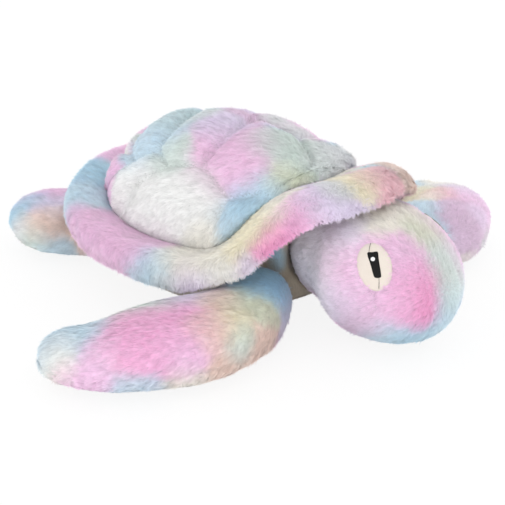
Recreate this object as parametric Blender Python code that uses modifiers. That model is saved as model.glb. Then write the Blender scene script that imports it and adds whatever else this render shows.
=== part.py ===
# Plush sea turtle, sewn from pile fabric and stuffed with fibre.
# Metres, +Z up. The turtle faces -Y and its right side is -X.
# The origin is the centre of the belly's flat resting face.
import math

import bmesh
import bpy
from mathutils import Matrix, Vector
from mathutils.bvhtree import BVHTree

# Fits
GAP = 0.0003                    # between sewn pieces that touch
RUNNING_GAP = 0.0004            # between a limb's round root and its seat
HOOD_GAP = 0.0028               # between the rim's facets and the limbs that turn under it
FILL_GAP = 0.0007               # between a skin and the filling that pushes it out
OVERRUN = 0.004                 # how far a cutter passes the face that it cuts

# Shell dome
DOME_HALF_WIDTH = 0.094
DOME_HALF_LENGTH = 0.110
DOME_TOP = 0.137
SEAM_HEIGHT = 0.062             # dome to rim seam at the sides
HOOD_RISE = 0.056               # how much higher that seam runs over the head
DOME_SKIRT = 0.012              # upright band below the seam that the rim is sewn to
DOME_WALL = 0.005
SCUTE_CROWN = 0.0065            # how far a scute swells above its stitched seams
HOOD_ANGLE = math.radians(48)   # from the nose line to where the hood has fallen to a third
HOOD_STEEPNESS_SHARE = 5.0
SCUTE_ROUNDING_SHARE = 2.6      # power that keeps a scute full close to its seams
NORMAL_REACH_SHARE = 0.97       # outermost place on the disc where the dome's slope is sampled
SEAM_SLUMP = 0.014              # the dome's front seam has slumped at most this much on its left side

# Shell rim
RIM_HALF_WIDTH = 0.134
RIM_FRONT_REACH = 0.174
RIM_REAR_REACH = 0.145
RIM_SIDE_HEIGHT = 0.052         # middle of the rim's outer edge at the sides
RIM_FRONT_RISE = 0.068
HOOD_SLUMP = 0.024              # the hood has slumped this much lower on its left side
SLUMP_TURN_SHARE = 1.8          # how fast the slump comes in from right to left
RIM_REAR_RISE = 0.006
RIM_ROUNDING_SHARE = 2 / 3      # power of the stuffed section's rounding
RIM_INNER_THICKNESS = 0.014
RIM_OUTER_THICKNESS = 0.025

# Belly
BASE_HALF_WIDTH = 0.052
BASE_HALF_LENGTH = 0.074
BELLY_WALL = 0.005
BELLY_FULLNESS_SHARE = 0.7      # power that keeps the belly wide close to its sole

# Pellet pouch
POUCH_HALF_WIDTH = 0.034
POUCH_HALF_LENGTH = 0.046
POUCH_HEIGHT = 0.024
POUCH_SHARES = ((0.0, 0.55), (0.12, 0.79), (0.35, 0.95), (0.6, 0.97), (0.82, 0.76), (0.95, 0.43))
POUCH_SPACE_SHARES = ((-0.2, 1.0), (0.5, 1.0), (0.8, 0.9), (1.0, 0.62))

# Neck and head
NECK_AXIS_Y = -0.122            # upright axis that the head turns on
NECK_RADIUS = 0.042
NECK_CENTRE_Z = 0.060
NECK_HALF_HEIGHT = 0.045
HEAD_CENTRE_Y = -0.160
HEAD_CENTRE_Z = 0.056
HEAD_HALF_WIDTH = 0.062
HEAD_HALF_HEIGHT = 0.0545
NOSE_REACH = 0.071              # from the head's widest section to the nose
NOSE_DROOP = 0.010              # how far the nose hangs below the head's widest section
NECK_FLARE_SHARE = 1.3          # power of the neck's widening to the cheeks
NOSE_ROUNDING_SHARE = 2.1       # power of the head's narrowing to the nose
NOSE_DROOP_SHARE = 1.5          # power of its droop
HEAD_WALL = 0.004
HEAD_TURN = math.radians(10)
GUSSET_HALF_WIDTH = 0.017       # strip over the crown, nose and chin

# Eyes, each an oval patch with a pupil and a highlight on it
EYE_AHEAD = 0.027               # of the head's widest section
EYE_ABOVE = 0.0295              # the middle of that section
EYE_HALF_WIDTH = 0.0135
EYE_HALF_HEIGHT = 0.0180
PUPIL_HALF_WIDTH = 0.0058
PUPIL_HALF_HEIGHT = 0.0105
HIGHLIGHT_RADIUS = 0.0021
PUPIL_NARROWING_SHARE = 0.28    # how much narrower the pupil is at its foot
PUPIL_SQUARENESS_SHARES = (0.75, 0.8)
PATCH_THICKNESS = 0.0008
PATCH_RING_SHARES = (1.0, 0.55)
EYE_TILT = math.radians(12)

# Front flippers, drawn for the right side
FRONT_AXIS = (-0.072, -0.096)
FRONT_ROOT_RADIUS = 0.029
FRONT_ROOT_THICKNESS = 0.056
FRONT_MID_THICKNESS = 0.055
FRONT_TIP_THICKNESS = 0.040
FRONT_COURSE = ((-0.103, -0.104, 0.036), (-0.137, -0.099, 0.043), (-0.170, -0.083, 0.044),
                (-0.197, -0.062, 0.040), (-0.213, -0.042, 0.033))
FRONT_SWEEP = math.radians(34)  # forwards, from against the rim
# The left one is drawn as on the right side too. It lies further forwards and bent back at its middle.
LEFT_FRONT_COURSE = ((-0.107, -0.120, 0.035), (-0.134, -0.128, 0.038), (-0.158, -0.119, 0.038),
                     (-0.174, -0.098, 0.035), (-0.181, -0.075, 0.031))
LEFT_SWEEP_BACK = math.radians(16)
LEFT_SWEEP_AHEAD = math.radians(18)

# Hind flippers, drawn for the right side
HIND_AXIS = (-0.056, 0.094)
HIND_ROOT_RADIUS = 0.022
HIND_ROOT_THICKNESS = 0.036
HIND_MID_THICKNESS = 0.047
HIND_TIP_THICKNESS = 0.046
HIND_COURSE = ((-0.061, 0.112, 0.030), (-0.067, 0.129, 0.040), (-0.071, 0.139, 0.041))
HIND_SWEEP_IN = math.radians(8)
HIND_SWEEP_OUT = math.radians(15)
FLIPPER_WALL = 0.004
ROOT_CAP_SHARES = (0.93, 0.75, 0.4)
TIP_CAP_SHARES = (0.45, 0.8, 0.97)
GROUND_CLEARANCE = 0.0015       # under the flippers

# Facets
STATIONS = 72                   # round the shell, a multiple of the scutes' corner angles
POUCH_STATIONS = 24
RIM_SIDES = 14
FLIPPER_SIDES = 16
EYE_SIDES = 24
PUPIL_SIDES = 16
HIGHLIGHT_SIDES = 10
SEAT_SIDES = 32
SWEEP_STEPS = 5                 # places of a flipper's sweep that the rim is made to clear
FLAT_GROWTH_SHARE = 1 / math.cos(math.pi / SEAT_SIDES)
PILLOW_SHARE = 2.5              # power of a stuffed section's rounding
SAMPLE_STEP_SHARE = 0.02        # for slopes taken from two close points
FLAT_EDGE_SHARE = 0.999         # beyond it a section has no thickness left


def clear_scene():
    for old in list(bpy.data.objects):
        bpy.data.objects.remove(old, do_unlink=True)


def new_collection(name):
    collection = bpy.data.collections.new(name)
    bpy.context.scene.collection.children.link(collection)
    return collection


def new_material(name, colour, roughness):
    material = bpy.data.materials.new(name)
    material.use_nodes = True
    shader = material.node_tree.nodes["Principled BSDF"]
    shader.inputs["Base Color"].default_value = (*colour, 1.0)
    shader.inputs["Roughness"].default_value = roughness
    shader.inputs["Metallic"].default_value = 0.0
    return material


def object_from(bm, name, collection, material=None, origin=None):
    """Turn a bmesh into an object whose origin lies at the given world point."""
    mesh = bpy.data.meshes.new(name)
    if origin:
        bmesh.ops.translate(bm, verts=bm.verts, vec=-Vector(origin))
    bmesh.ops.recalc_face_normals(bm, faces=bm.faces)
    bm.to_mesh(mesh)
    bm.free()
    mesh.shade_smooth()
    mesh.set_sharp_from_angle(angle=math.radians(50))
    piece = bpy.data.objects.new(name, mesh)
    if origin:
        piece.location = origin
    if material:
        mesh.materials.append(material)
    collection.objects.link(piece)
    return piece


def add_rings(bm, rings, close_first=False, close_last=False):
    """Skin a row of closed rings of points with quads; a closed end gets a fan."""
    loops = [[bm.verts.new(point) for point in ring] for ring in rings]
    for near, far in zip(loops, loops[1:]):
        for i in range(len(near)):
            j = (i + 1) % len(near)
            bm.faces.new((near[i], near[j], far[j], far[i]))
    for wanted, loop in ((close_first, loops[0]), (close_last, loops[-1])):
        if wanted:
            middle = bm.verts.new(sum((v.co for v in loop), Vector()) / len(loop))
            for i in range(len(loop)):
                bm.faces.new((loop[i], loop[(i + 1) % len(loop)], middle))
    return loops


def bridge(bm, near, far):
    for i in range(len(near)):
        j = (i + 1) % len(near)
        bm.faces.new((near[i], near[j], far[j], far[i]))


def angles(count):
    return [math.tau * i / count for i in range(count)]


def cut(piece, cutter, operation="DIFFERENCE"):
    modifier = piece.modifiers.new("cut " + cutter.name, "BOOLEAN")
    modifier.operation = operation
    modifier.solver = "EXACT"
    modifier.object = cutter


def make_cutter(bm, name, collection):
    cutter = object_from(bm, name, collection)
    cutter.hide_render = True
    cutter.display_type = "WIRE"
    return cutter


# Curves that the shell's pieces share. An angle runs from the nose line to the right.

def folded(angle):
    return (angle + math.pi) % math.tau - math.pi


def hood_share(angle):
    return math.exp(-((abs(folded(angle)) / HOOD_ANGLE) ** HOOD_STEEPNESS_SHARE))


def seam_point(angle, inset=0.0, drop=0.0):
    """Point of the seam between dome and rim, moved inwards and down."""
    x = -(DOME_HALF_WIDTH - inset) * math.sin(angle)
    y = -(DOME_HALF_LENGTH - inset) * math.cos(angle)
    leftward = max(0.0, min(math.pi / 2, -SLUMP_TURN_SHARE * folded(angle)))
    rise = HOOD_RISE - SEAM_SLUMP * math.sin(leftward) ** 2
    return Vector((x, y, SEAM_HEIGHT + rise * hood_share(angle) - drop))


def rim_edge(angle):
    """Middle of the rim's rounded outer edge."""
    facing = math.cos(angle)
    reach = RIM_FRONT_REACH if facing > 0 else RIM_REAR_REACH
    slumped = 0.5 - 0.5 * math.sin(max(-math.pi / 2, min(math.pi / 2, SLUMP_TURN_SHARE * folded(angle))))
    front_rise = RIM_FRONT_RISE - HOOD_SLUMP * slumped
    height = RIM_SIDE_HEIGHT + front_rise * hood_share(angle) + RIM_REAR_RISE * max(0.0, -facing)
    return Vector((-RIM_HALF_WIDTH * math.sin(angle), -reach * facing, height))


def dome_point(u, v, inset=0.0):
    """Dome surface over the unit disc; u runs to the left side and v to the tail."""
    share = min(1.0, math.hypot(u, v))
    angle = math.atan2(-u, -v)
    edge = seam_point(angle, inset)
    rise = math.cos(share * math.pi / 2)
    spread = math.sin(share * math.pi / 2)
    top = DOME_TOP - inset
    return Vector((edge.x * spread, edge.y * spread, edge.z + (top - edge.z) * rise))


def dome_normal(u, v):
    step = SAMPLE_STEP_SHARE
    # Sampled inside the disc so that the edge has a normal too
    scale = min(1.0, NORMAL_REACH_SHARE / max(math.hypot(u, v), step))
    u, v = u * scale, v * scale
    across = dome_point(u + step, v) - dome_point(u - step, v)
    along = dome_point(u, v + step) - dome_point(u, v - step)
    return across.cross(along).normalized()


# Scutes, as corner names and where each corner lies on the unit disc. L marks the left side's corners.
# The quilted cloth lies askew, so the middle row has slid towards the right side.
CORNER_SHARES = {
    "v0": (-0.36, 0.50), "v1": (-0.39, 0.18), "v2": (-0.39, -0.14), "v3": (-0.46, -0.69),
    "l0": (-0.48, 0.34), "l1": (-0.48, 0.06), "l2": (-0.51, -0.39),
    "v0L": (0.20, 0.54), "v1L": (0.16, 0.26), "v2L": (0.21, -0.06), "v3L": (-0.04, -0.70),
    "l0L": (0.32, 0.40), "l1L": (0.30, 0.10), "l2L": (0.16, -0.36),
}
EDGE_CORNER_DEGREES = {
    "e0": 165, "e1": 140, "e2": 115, "e3": 65, "e4": 35,
    "e0L": -150, "e1L": -125, "e2L": -90, "e3L": -60, "e4L": -20,
}
SCUTES = (
    ("v0", "v0L", "e0L", "e0"),
    ("v0", "l0", "v1", "v1L", "l0L", "v0L"),
    ("v1", "l1", "v2", "v2L", "l1L", "v1L"),
    ("v2", "l2", "v3", "v3L", "l2L", "v2L"),
    ("v3", "e4", "e4L", "v3L"),
    ("v0", "e0", "e1", "l0"), ("l0", "e1", "e2", "l1", "v1"),
    ("l1", "e2", "e3", "l2", "v2"), ("l2", "e3", "e4", "v3"),
)
DOME_LINING_SHARES = (1.0, 0.76, 0.42)  # rings on the inside of the dome
SEAM_STEPS = 4                  # facets along each stitched seam inside the dome
SCUTE_RING_SHARES = (1.0, 0.88, 0.66, 0.34)


def corner(name):
    if name in CORNER_SHARES:
        return CORNER_SHARES[name]
    angle = math.radians(EDGE_CORNER_DEGREES[name])
    return -math.sin(angle), -math.cos(angle)


def seam_run(start, end):
    """Points from one corner up to the next: along the disc's edge, or straight across."""
    (u0, v0), (u1, v1) = corner(start), corner(end)
    if start[0] == "e" and end[0] == "e":
        a0, a1 = math.atan2(-u0, -v0), math.atan2(-u1, -v1)
        turn = (a1 - a0 + math.pi) % math.tau - math.pi
        steps = round(abs(turn) / math.tau * STATIONS)
        return [(-math.sin(a0 + turn * i / steps), -math.cos(a0 + turn * i / steps)) for i in range(steps)]
    steps = SEAM_STEPS * (2 if start.rstrip("L") == end.rstrip("L") else 1)
    return [(u0 + (u1 - u0) * i / steps, v0 + (v1 - v0) * i / steps) for i in range(steps)]


def scute_outline(names):
    outline = []
    for i, name in enumerate(names):
        outline += seam_run(name, names[(i + 1) % len(names)])
    return outline


def mirrored(names):
    return tuple(n[:-1] if n.endswith("L") else n + "L" for n in names)


def build_dome(collection, material):
    """Quilted top of the shell: every scute is a puffed patch between stitched seams."""
    bm = bmesh.new()
    patches = list(SCUTES) + [mirrored(names) for names in SCUTES if not any(n.endswith("L") for n in names)]
    for names in patches:
        outline = scute_outline(names)
        middle_u = sum(p[0] for p in outline) / len(outline)
        middle_v = sum(p[1] for p in outline) / len(outline)

        def puffed(u, v, share):
            lift = SCUTE_CROWN * (1 - share ** SCUTE_ROUNDING_SHARE)
            return dome_point(u, v) + dome_normal(u, v) * lift

        rings = []
        for share in SCUTE_RING_SHARES:
            ring = []
            for u, v in outline:
                pu = middle_u + (u - middle_u) * share
                pv = middle_v + (v - middle_v) * share
                ring.append(bm.verts.new(puffed(pu, pv, share)))
            rings.append(ring)
        top = bm.verts.new(puffed(middle_u, middle_v, 0.0))
        for near, far in zip(rings, rings[1:]):
            bridge(bm, near, far)
        for i in range(len(outline)):
            bm.faces.new((rings[-1][i], rings[-1][(i + 1) % len(outline)], top))
    bmesh.ops.remove_doubles(bm, verts=bm.verts, dist=GAP / 10)
    bm.verts.ensure_lookup_table()

    # Upright band below the seam, then up the inside to the crown
    border = {v for e in bm.edges if e.is_boundary for v in e.verts}
    seam = sorted(border, key=lambda v: math.atan2(-v.co.x / DOME_HALF_WIDTH, -v.co.y / DOME_HALF_LENGTH) % math.tau)
    turns = [math.atan2(-v.co.x / DOME_HALF_WIDTH, -v.co.y / DOME_HALF_LENGTH) for v in seam]
    hem = [bm.verts.new(seam_point(a, 0.0, DOME_SKIRT)) for a in turns]
    inner_hem = [bm.verts.new(seam_point(a, DOME_WALL, DOME_SKIRT)) for a in turns]
    bridge(bm, seam, hem)
    bridge(bm, hem, inner_hem)
    last = inner_hem
    for share in DOME_LINING_SHARES:
        ring = [bm.verts.new(dome_point(-math.sin(a) * share, -math.cos(a) * share, DOME_WALL)) for a in turns]
        bridge(bm, last, ring)
        last = ring
    crown = bm.verts.new(dome_point(0.0, 0.0, DOME_WALL))
    for i in range(len(last)):
        bm.faces.new((last[i], last[(i + 1) % len(last)], crown))
    return object_from(bm, "shell_dome", collection, material)


def swept_trees(rings, axis, turns):
    """One search tree for each turn of a limb about its upright axis."""
    trees = []
    for turn in turns:
        bm = bmesh.new()
        add_rings(bm, rings, True, True)
        about = Matrix.Translation((axis[0], axis[1], 0.0))
        bmesh.ops.transform(bm, matrix=about @ Matrix.Rotation(turn, 4, "Z") @ about.inverted(), verts=bm.verts)
        trees.append(BVHTree.FromBMesh(bm))
        bm.free()
    return trees


def top_under(point, trees):
    """Height of the highest limb surface straight above or below a point."""
    best = -DOME_TOP
    for tree in trees:
        hit, _, _, _ = tree.ray_cast(Vector((point.x, point.y, DOME_TOP * 2)), Vector((0.0, 0.0, -1.0)))
        if hit:
            best = max(best, hit.z)
    return best


def build_rim(limb_trees, collection, material):
    """Stuffed skirt sewn round the dome; at the front it lies as a hood on the head."""
    bm = bmesh.new()
    section = angles(RIM_SIDES)
    rings = []
    for angle in angles(STATIONS):
        inner = seam_point(angle, -GAP, RIM_INNER_THICKNESS / 2)
        outer = rim_edge(angle)
        chord = outer - inner
        outward = Vector((chord.x, chord.y, 0.0)).normalized()
        length = chord.length
        along = chord.normalized()
        upward = (Vector((0.0, 0.0, 1.0)) - along * along.z).normalized()
        ring = []
        for turn in section:
            c, s = math.cos(turn), math.sin(turn)
            run = 0.5 - 0.5 * math.copysign(abs(c) ** RIM_ROUNDING_SHARE, c)
            half = (RIM_INNER_THICKNESS + (RIM_OUTER_THICKNESS - RIM_INNER_THICKNESS) * run) / 2
            offset = half * math.copysign(abs(s) ** RIM_ROUNDING_SHARE, s)
            point = inner + along * (length * run) + upward * offset
            # The sewn end is upright, so that it lies flat on the dome's band
            lean = (point - inner).dot(outward)
            if lean < 0.0:
                point -= outward * lean
            # The rim lies over the limbs, which press its underside up
            under = top_under(point, limb_trees) + HOOD_GAP
            if s > 0.0:
                under += half * s
            point.z = max(point.z, under)
            ring.append(point)
        rings.append(ring)
    loops = add_rings(bm, rings)
    bridge(bm, loops[-1], loops[0])
    return object_from(bm, "shell_rim", collection, material)


def belly_point(angle, share, inset=0.0, lift=0.0):
    """Belly surface from the shell seam, share 0, down to the resting face, share 1."""
    top = seam_point(angle, inset, DOME_SKIRT + GAP)
    base_x = -(BASE_HALF_WIDTH - inset) * math.sin(angle)
    base_y = -(BASE_HALF_LENGTH - inset) * math.cos(angle)
    spread = math.cos(share * math.pi / 2) ** BELLY_FULLNESS_SHARE
    fall = 1 - math.sin(share * math.pi / 2)
    x = base_x + (top.x - base_x) * spread
    y = base_y + (top.y - base_y) * spread
    return Vector((x, y, lift + (top.z - lift) * fall))


# Rings of the belly, from the shell seam down to the sole
BELLY_SHARES = (0.0, 0.2, 0.42, 0.64, 0.84, 1.0)


def build_belly(collection, material):
    """Short-pile underside: a bowl with a flat sole, open at the top where the dome closes it."""
    bm = bmesh.new()
    turns = angles(STATIONS)
    outer = [[belly_point(a, s) for a in turns] for s in BELLY_SHARES]
    inner = [[belly_point(a, s, BELLY_WALL, BELLY_WALL) for a in turns] for s in BELLY_SHARES]
    outer_loops = add_rings(bm, outer)
    inner_loops = add_rings(bm, inner)
    bm.faces.new(outer_loops[-1])
    bm.faces.new(inner_loops[-1])
    bridge(bm, outer_loops[0], inner_loops[0])
    return object_from(bm, "belly_panel", collection, material)


def build_pouch(collection, material):
    """Cloth bag of pellets that weighs the belly down."""
    bm = bmesh.new()
    floor = BELLY_WALL + GAP
    rings = []
    for share, spread in POUCH_SHARES:
        rings.append([Vector((-POUCH_HALF_WIDTH * spread * math.sin(a), -POUCH_HALF_LENGTH * spread * math.cos(a),
                              floor + POUCH_HEIGHT * share)) for a in angles(POUCH_STATIONS)])
    add_rings(bm, rings, True, True)
    return object_from(bm, "pellet_pouch", collection, material)


def build_body_filling(collection, cutters, material):
    """Fibre filling of the body, with a hollow underneath for the pellet pouch."""
    bm = bmesh.new()
    inset_low = BELLY_WALL + FILL_GAP
    inset_high = DOME_WALL + FILL_GAP
    turns = angles(STATIONS)
    rings = [[belly_point(a, s, inset_low, inset_low) for a in turns] for s in reversed(BELLY_SHARES)]
    for share in DOME_LINING_SHARES:
        rings.append([dome_point(-math.sin(a) * share, -math.cos(a) * share, inset_high) for a in turns])
    add_rings(bm, rings, True, True)
    filling = object_from(bm, "body_filling", collection, material)

    pouch_space = bmesh.new()
    # Turned half a facet, so that no wall lands on an edge of the filling's sole
    between = [a + math.pi / POUCH_STATIONS for a in angles(POUCH_STATIONS)]
    rings = []
    for share, spread in POUCH_SPACE_SHARES:
        rings.append([Vector((-(POUCH_HALF_WIDTH + FILL_GAP) * spread * math.sin(a),
                              -(POUCH_HALF_LENGTH + FILL_GAP) * spread * math.cos(a),
                              BELLY_WALL + GAP + (POUCH_HEIGHT + FILL_GAP) * share)) for a in between])
    add_rings(pouch_space, rings, True, True)
    cut(filling, make_cutter(pouch_space, "pouch_space", cutters))
    return filling


def head_section(share):
    """Place, half width, half height and middle height of a head section, from nape 0 to nose 1."""
    nape_y = NECK_AXIS_Y + NECK_RADIUS
    nose_y = HEAD_CENTRE_Y - NOSE_REACH
    y = nape_y + (nose_y - nape_y) * share
    if y > NECK_AXIS_Y:
        round_share = math.sqrt(max(0.0, 1 - ((y - NECK_AXIS_Y) / NECK_RADIUS) ** 2))
        return y, NECK_RADIUS * round_share, NECK_HALF_HEIGHT * round_share, NECK_CENTRE_Z
    if y > HEAD_CENTRE_Y:
        way = (NECK_AXIS_Y - y) / (NECK_AXIS_Y - HEAD_CENTRE_Y)
        ease = math.sin(way * math.pi / 2) ** NECK_FLARE_SHARE
        half_width = NECK_RADIUS + (HEAD_HALF_WIDTH - NECK_RADIUS) * ease
        half_height = NECK_HALF_HEIGHT + (HEAD_HALF_HEIGHT - NECK_HALF_HEIGHT) * ease
        return y, half_width, half_height, NECK_CENTRE_Z + (HEAD_CENTRE_Z - NECK_CENTRE_Z) * way
    way = (HEAD_CENTRE_Y - y) / NOSE_REACH
    round_share = max(0.0, 1 - way ** NOSE_ROUNDING_SHARE) ** 0.5
    return (y, HEAD_HALF_WIDTH * round_share, HEAD_HALF_HEIGHT * round_share,
            HEAD_CENTRE_Z - NOSE_DROOP * way ** NOSE_DROOP_SHARE)


# Sections of the head, from the nape to the nose
HEAD_SHARES = (0.004, 0.03, 0.085, 0.16, 0.24, 0.31, 0.38, 0.45, 0.53, 0.62, 0.71, 0.8, 0.88, 0.94, 0.98, 0.997)
HEAD_SIDES = 28


def head_rings(inset, shares):
    rings = []
    for share in shares:
        y, half_width, half_height, middle_z = head_section(share)
        half_width = max(half_width - inset, inset / 4 + GAP)
        half_height = max(half_height - inset, inset / 4 + GAP)
        middle = HEAD_CENTRE_Y
        if inset:
            y = middle + (y - middle) * (1 - inset / NOSE_REACH)
        rings.append([Vector((half_width * math.cos(t), y, middle_z + half_height * math.sin(t)))
                      for t in angles(HEAD_SIDES)])
    return rings


def box_cutter(name, low, high, collection):
    bm = bmesh.new()
    bmesh.ops.create_cube(bm, size=1.0)
    size = Vector(high) - Vector(low)
    bmesh.ops.scale(bm, vec=size, verts=bm.verts)
    bmesh.ops.translate(bm, vec=(Vector(high) + Vector(low)) / 2, verts=bm.verts)
    return make_cutter(bm, name, collection)


def build_head(collection, cutters, materials):
    """Head skin in three sewn panels, right, left and centre gusset, round its filling."""
    skin = bmesh.new()
    add_rings(skin, head_rings(0.0, HEAD_SHARES[1:]), False, True)
    bmesh.ops.recalc_face_normals(skin, faces=skin.faces)
    reach = HEAD_HALF_WIDTH + NOSE_REACH
    front = HEAD_CENTRE_Y - NOSE_REACH - OVERRUN
    back = NECK_AXIS_Y + NECK_RADIUS + OVERRUN
    low = HEAD_CENTRE_Z - NOSE_DROOP - HEAD_HALF_HEIGHT - OVERRUN
    high = NECK_CENTRE_Z + HEAD_HALF_HEIGHT + OVERRUN
    keep = {
        "head_gusset": box_cutter("gusset_space", (-GUSSET_HALF_WIDTH, front, low),
                                  (GUSSET_HALF_WIDTH, back, high), cutters),
        "head_panel_right": box_cutter("right_space", (-reach, front, low),
                                       (-GUSSET_HALF_WIDTH - GAP, back, high), cutters),
        "head_panel_left": box_cutter("left_space", (GUSSET_HALF_WIDTH + GAP, front, low),
                                      (reach, back, high), cutters),
    }
    pieces = {}
    origin = (0.0, NECK_AXIS_Y, NECK_CENTRE_Z)
    for name, space in keep.items():
        piece = object_from(skin.copy(), name, collection, materials[name], origin)
        wall = piece.modifiers.new("fabric", "SOLIDIFY")
        wall.thickness = HEAD_WALL
        wall.offset = -1.0
        cut(piece, space, "INTERSECT")
        pieces[name] = piece
    tree = BVHTree.FromBMesh(skin)
    skin.free()

    filling = bmesh.new()
    add_rings(filling, head_rings(HEAD_WALL + FILL_GAP, HEAD_SHARES[2:-1]), True, True)
    pieces["head_filling"] = object_from(filling, "head_filling", collection, materials["head_filling"], origin)
    return pieces, tree


def build_eye(side, tree, collection, materials):
    """Three flat patches on the cheek: white oval, pupil and highlight. side is -1 for the right."""
    label = "right" if side < 0 else "left"
    start = Vector((side * HEAD_HALF_WIDTH * 2, HEAD_CENTRE_Y - EYE_AHEAD, HEAD_CENTRE_Z + EYE_ABOVE))
    middle, normal, _, _ = tree.ray_cast(start, Vector((-side, 0.0, 0.0)))
    if normal.dot(start - middle) < 0:
        normal = -normal
    upward = (Vector((0.0, 0.0, 1.0)) - normal * normal.z).normalized()
    forward = Vector((0.0, -1.0, 0.0))
    forward = (forward - normal * normal.dot(forward)).normalized()
    lean = math.cos(EYE_TILT), math.sin(EYE_TILT)
    tall = upward * lean[0] - forward * lean[1]
    wide = forward * lean[0] + upward * lean[1]
    depth = HEAD_HALF_WIDTH

    def patch(name, outline, centre, lift, rings, material):
        bm = bmesh.new()
        layers = []
        for level in (lift, lift + PATCH_THICKNESS):
            rows = []
            for share in rings:
                row = []
                for a, b in outline:
                    flat = middle + wide * (centre[0] + a * share) + tall * (centre[1] + b * share)
                    hit, _, _, _ = tree.ray_cast(flat + normal * depth, -normal)
                    row.append(bm.verts.new(hit + normal * level))
                rows.append(row)
            hit, _, _, _ = tree.ray_cast(middle + wide * centre[0] + tall * centre[1] + normal * depth, -normal)
            pole = bm.verts.new(hit + normal * level)
            for near, far in zip(rows, rows[1:]):
                bridge(bm, near, far)
            for i in range(len(outline)):
                bm.faces.new((rows[-1][i], rows[-1][(i + 1) % len(outline)], pole))
            layers.append(rows[0])
        bridge(bm, layers[0], layers[1])
        return object_from(bm, name, collection, material, (0.0, NECK_AXIS_Y, NECK_CENTRE_Z))

    oval = [(EYE_HALF_WIDTH * math.cos(t), EYE_HALF_HEIGHT * math.sin(t)) for t in angles(EYE_SIDES)]
    lens = []
    across, upright = PUPIL_SQUARENESS_SHARES
    for t in angles(PUPIL_SIDES):
        narrow = 1 - PUPIL_NARROWING_SHARE * (1 - math.sin(t)) / 2
        lens.append((PUPIL_HALF_WIDTH * narrow * math.copysign(abs(math.cos(t)) ** across, math.cos(t)),
                     PUPIL_HALF_HEIGHT * math.copysign(abs(math.sin(t)) ** upright, math.sin(t))))
    dot = [(HIGHLIGHT_RADIUS * math.cos(t), HIGHLIGHT_RADIUS * math.sin(t)) for t in angles(HIGHLIGHT_SIDES)]
    first = 2 * GAP
    second = first + PATCH_THICKNESS + GAP
    third = second + PATCH_THICKNESS + GAP
    centre = (0.0, 0.0)
    glint = (0.0, PUPIL_HALF_HEIGHT / 3)
    patch("eye_white_" + label, oval, centre, first, PATCH_RING_SHARES, materials["eye_white"])
    patch("eye_pupil_" + label, lens, centre, second, PATCH_RING_SHARES, materials["eye_pupil"])
    patch("eye_highlight_" + label, dot, glint, third, PATCH_RING_SHARES[:1], materials["eye_highlight"])


def flipper_rings(axis, course, radius, thicknesses, inset, open_root):
    """Sections of a flipper; its root and tip are turned about upright axes."""
    root_thick, mid_thick, tip_thick = thicknesses
    knots = [(axis[0], axis[1], radius)] + list(course)
    last = len(knots) - 1

    def thickness(place):
        share = place / last
        if share < 0.5:
            return root_thick + (mid_thick - root_thick) * math.sin(share * math.pi)
        return tip_thick + (mid_thick - tip_thick) * math.sin(share * math.pi)

    def knot(i):
        return Vector(knots[max(0, min(last, i))])

    def smooth(place):
        """Point and width on a curve through the knots."""
        i = min(int(place), last - 1)
        t = place - i
        p0, p1, p2, p3 = knot(i - 1), knot(i), knot(i + 1), knot(i + 2)
        if i == 0:
            p0 = p1 * 2 - p2
            p0.z = p1.z
        if i == last - 1:
            p3 = p2 * 2 - p1
        point = 0.5 * ((2 * p1) + (p2 - p0) * t + (2 * p0 - 5 * p1 + 4 * p2 - p3) * t * t
                       + (3 * p1 - p0 - 3 * p2 + p3) * t ** 3)
        return point

    def heading(place):
        step = SAMPLE_STEP_SHARE
        a, b = smooth(max(0.0, place - step)), smooth(min(last, place + step))
        flat = Vector((b.x - a.x, b.y - a.y, 0.0))
        return flat.normalized()

    stations = []
    root_caps = ROOT_CAP_SHARES if open_root else ROOT_CAP_SHARES[1:]
    for share in root_caps:
        stations.append((0.0, -share))
    steps = 2 * last
    for i in range(steps + 1):
        stations.append((i * last / steps, 0.0))
    for share in TIP_CAP_SHARES:
        stations.append((float(last), share))

    rings = []
    for place, past in stations:
        point = smooth(place)
        direction = heading(place)
        sideways = Vector((-direction.y, direction.x, 0.0))
        half_width = point.z - inset
        half_thick = thickness(place) / 2 - inset
        shift = past * half_width
        middle_z = GROUND_CLEARANCE + thickness(place) / 2
        span = math.sqrt(max(0.0, half_width ** 2 - shift ** 2))
        ring = []
        for turn in angles(FLIPPER_SIDES):
            c, s = math.cos(turn), math.sin(turn)
            across = span * math.copysign(abs(c) ** (2 / PILLOW_SHARE), c)
            rho = min(1.0, math.hypot(shift, across) / half_width)
            rise = half_thick * (1 - rho ** PILLOW_SHARE) ** (1 / PILLOW_SHARE)
            if abs(c) > FLAT_EDGE_SHARE:
                rise = 0.0
            ring.append(Vector((point.x, point.y, middle_z)) + direction * shift + sideways * across
                        + Vector((0.0, 0.0, math.copysign(rise, s))))
        rings.append(ring)
    return rings


def flipper_side(rings, side):
    """The drawn right flipper, or its mirror image."""
    if side < 0:
        return rings
    return [[Vector((-p.x, p.y, p.z)) for p in ring] for ring in rings]


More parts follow.
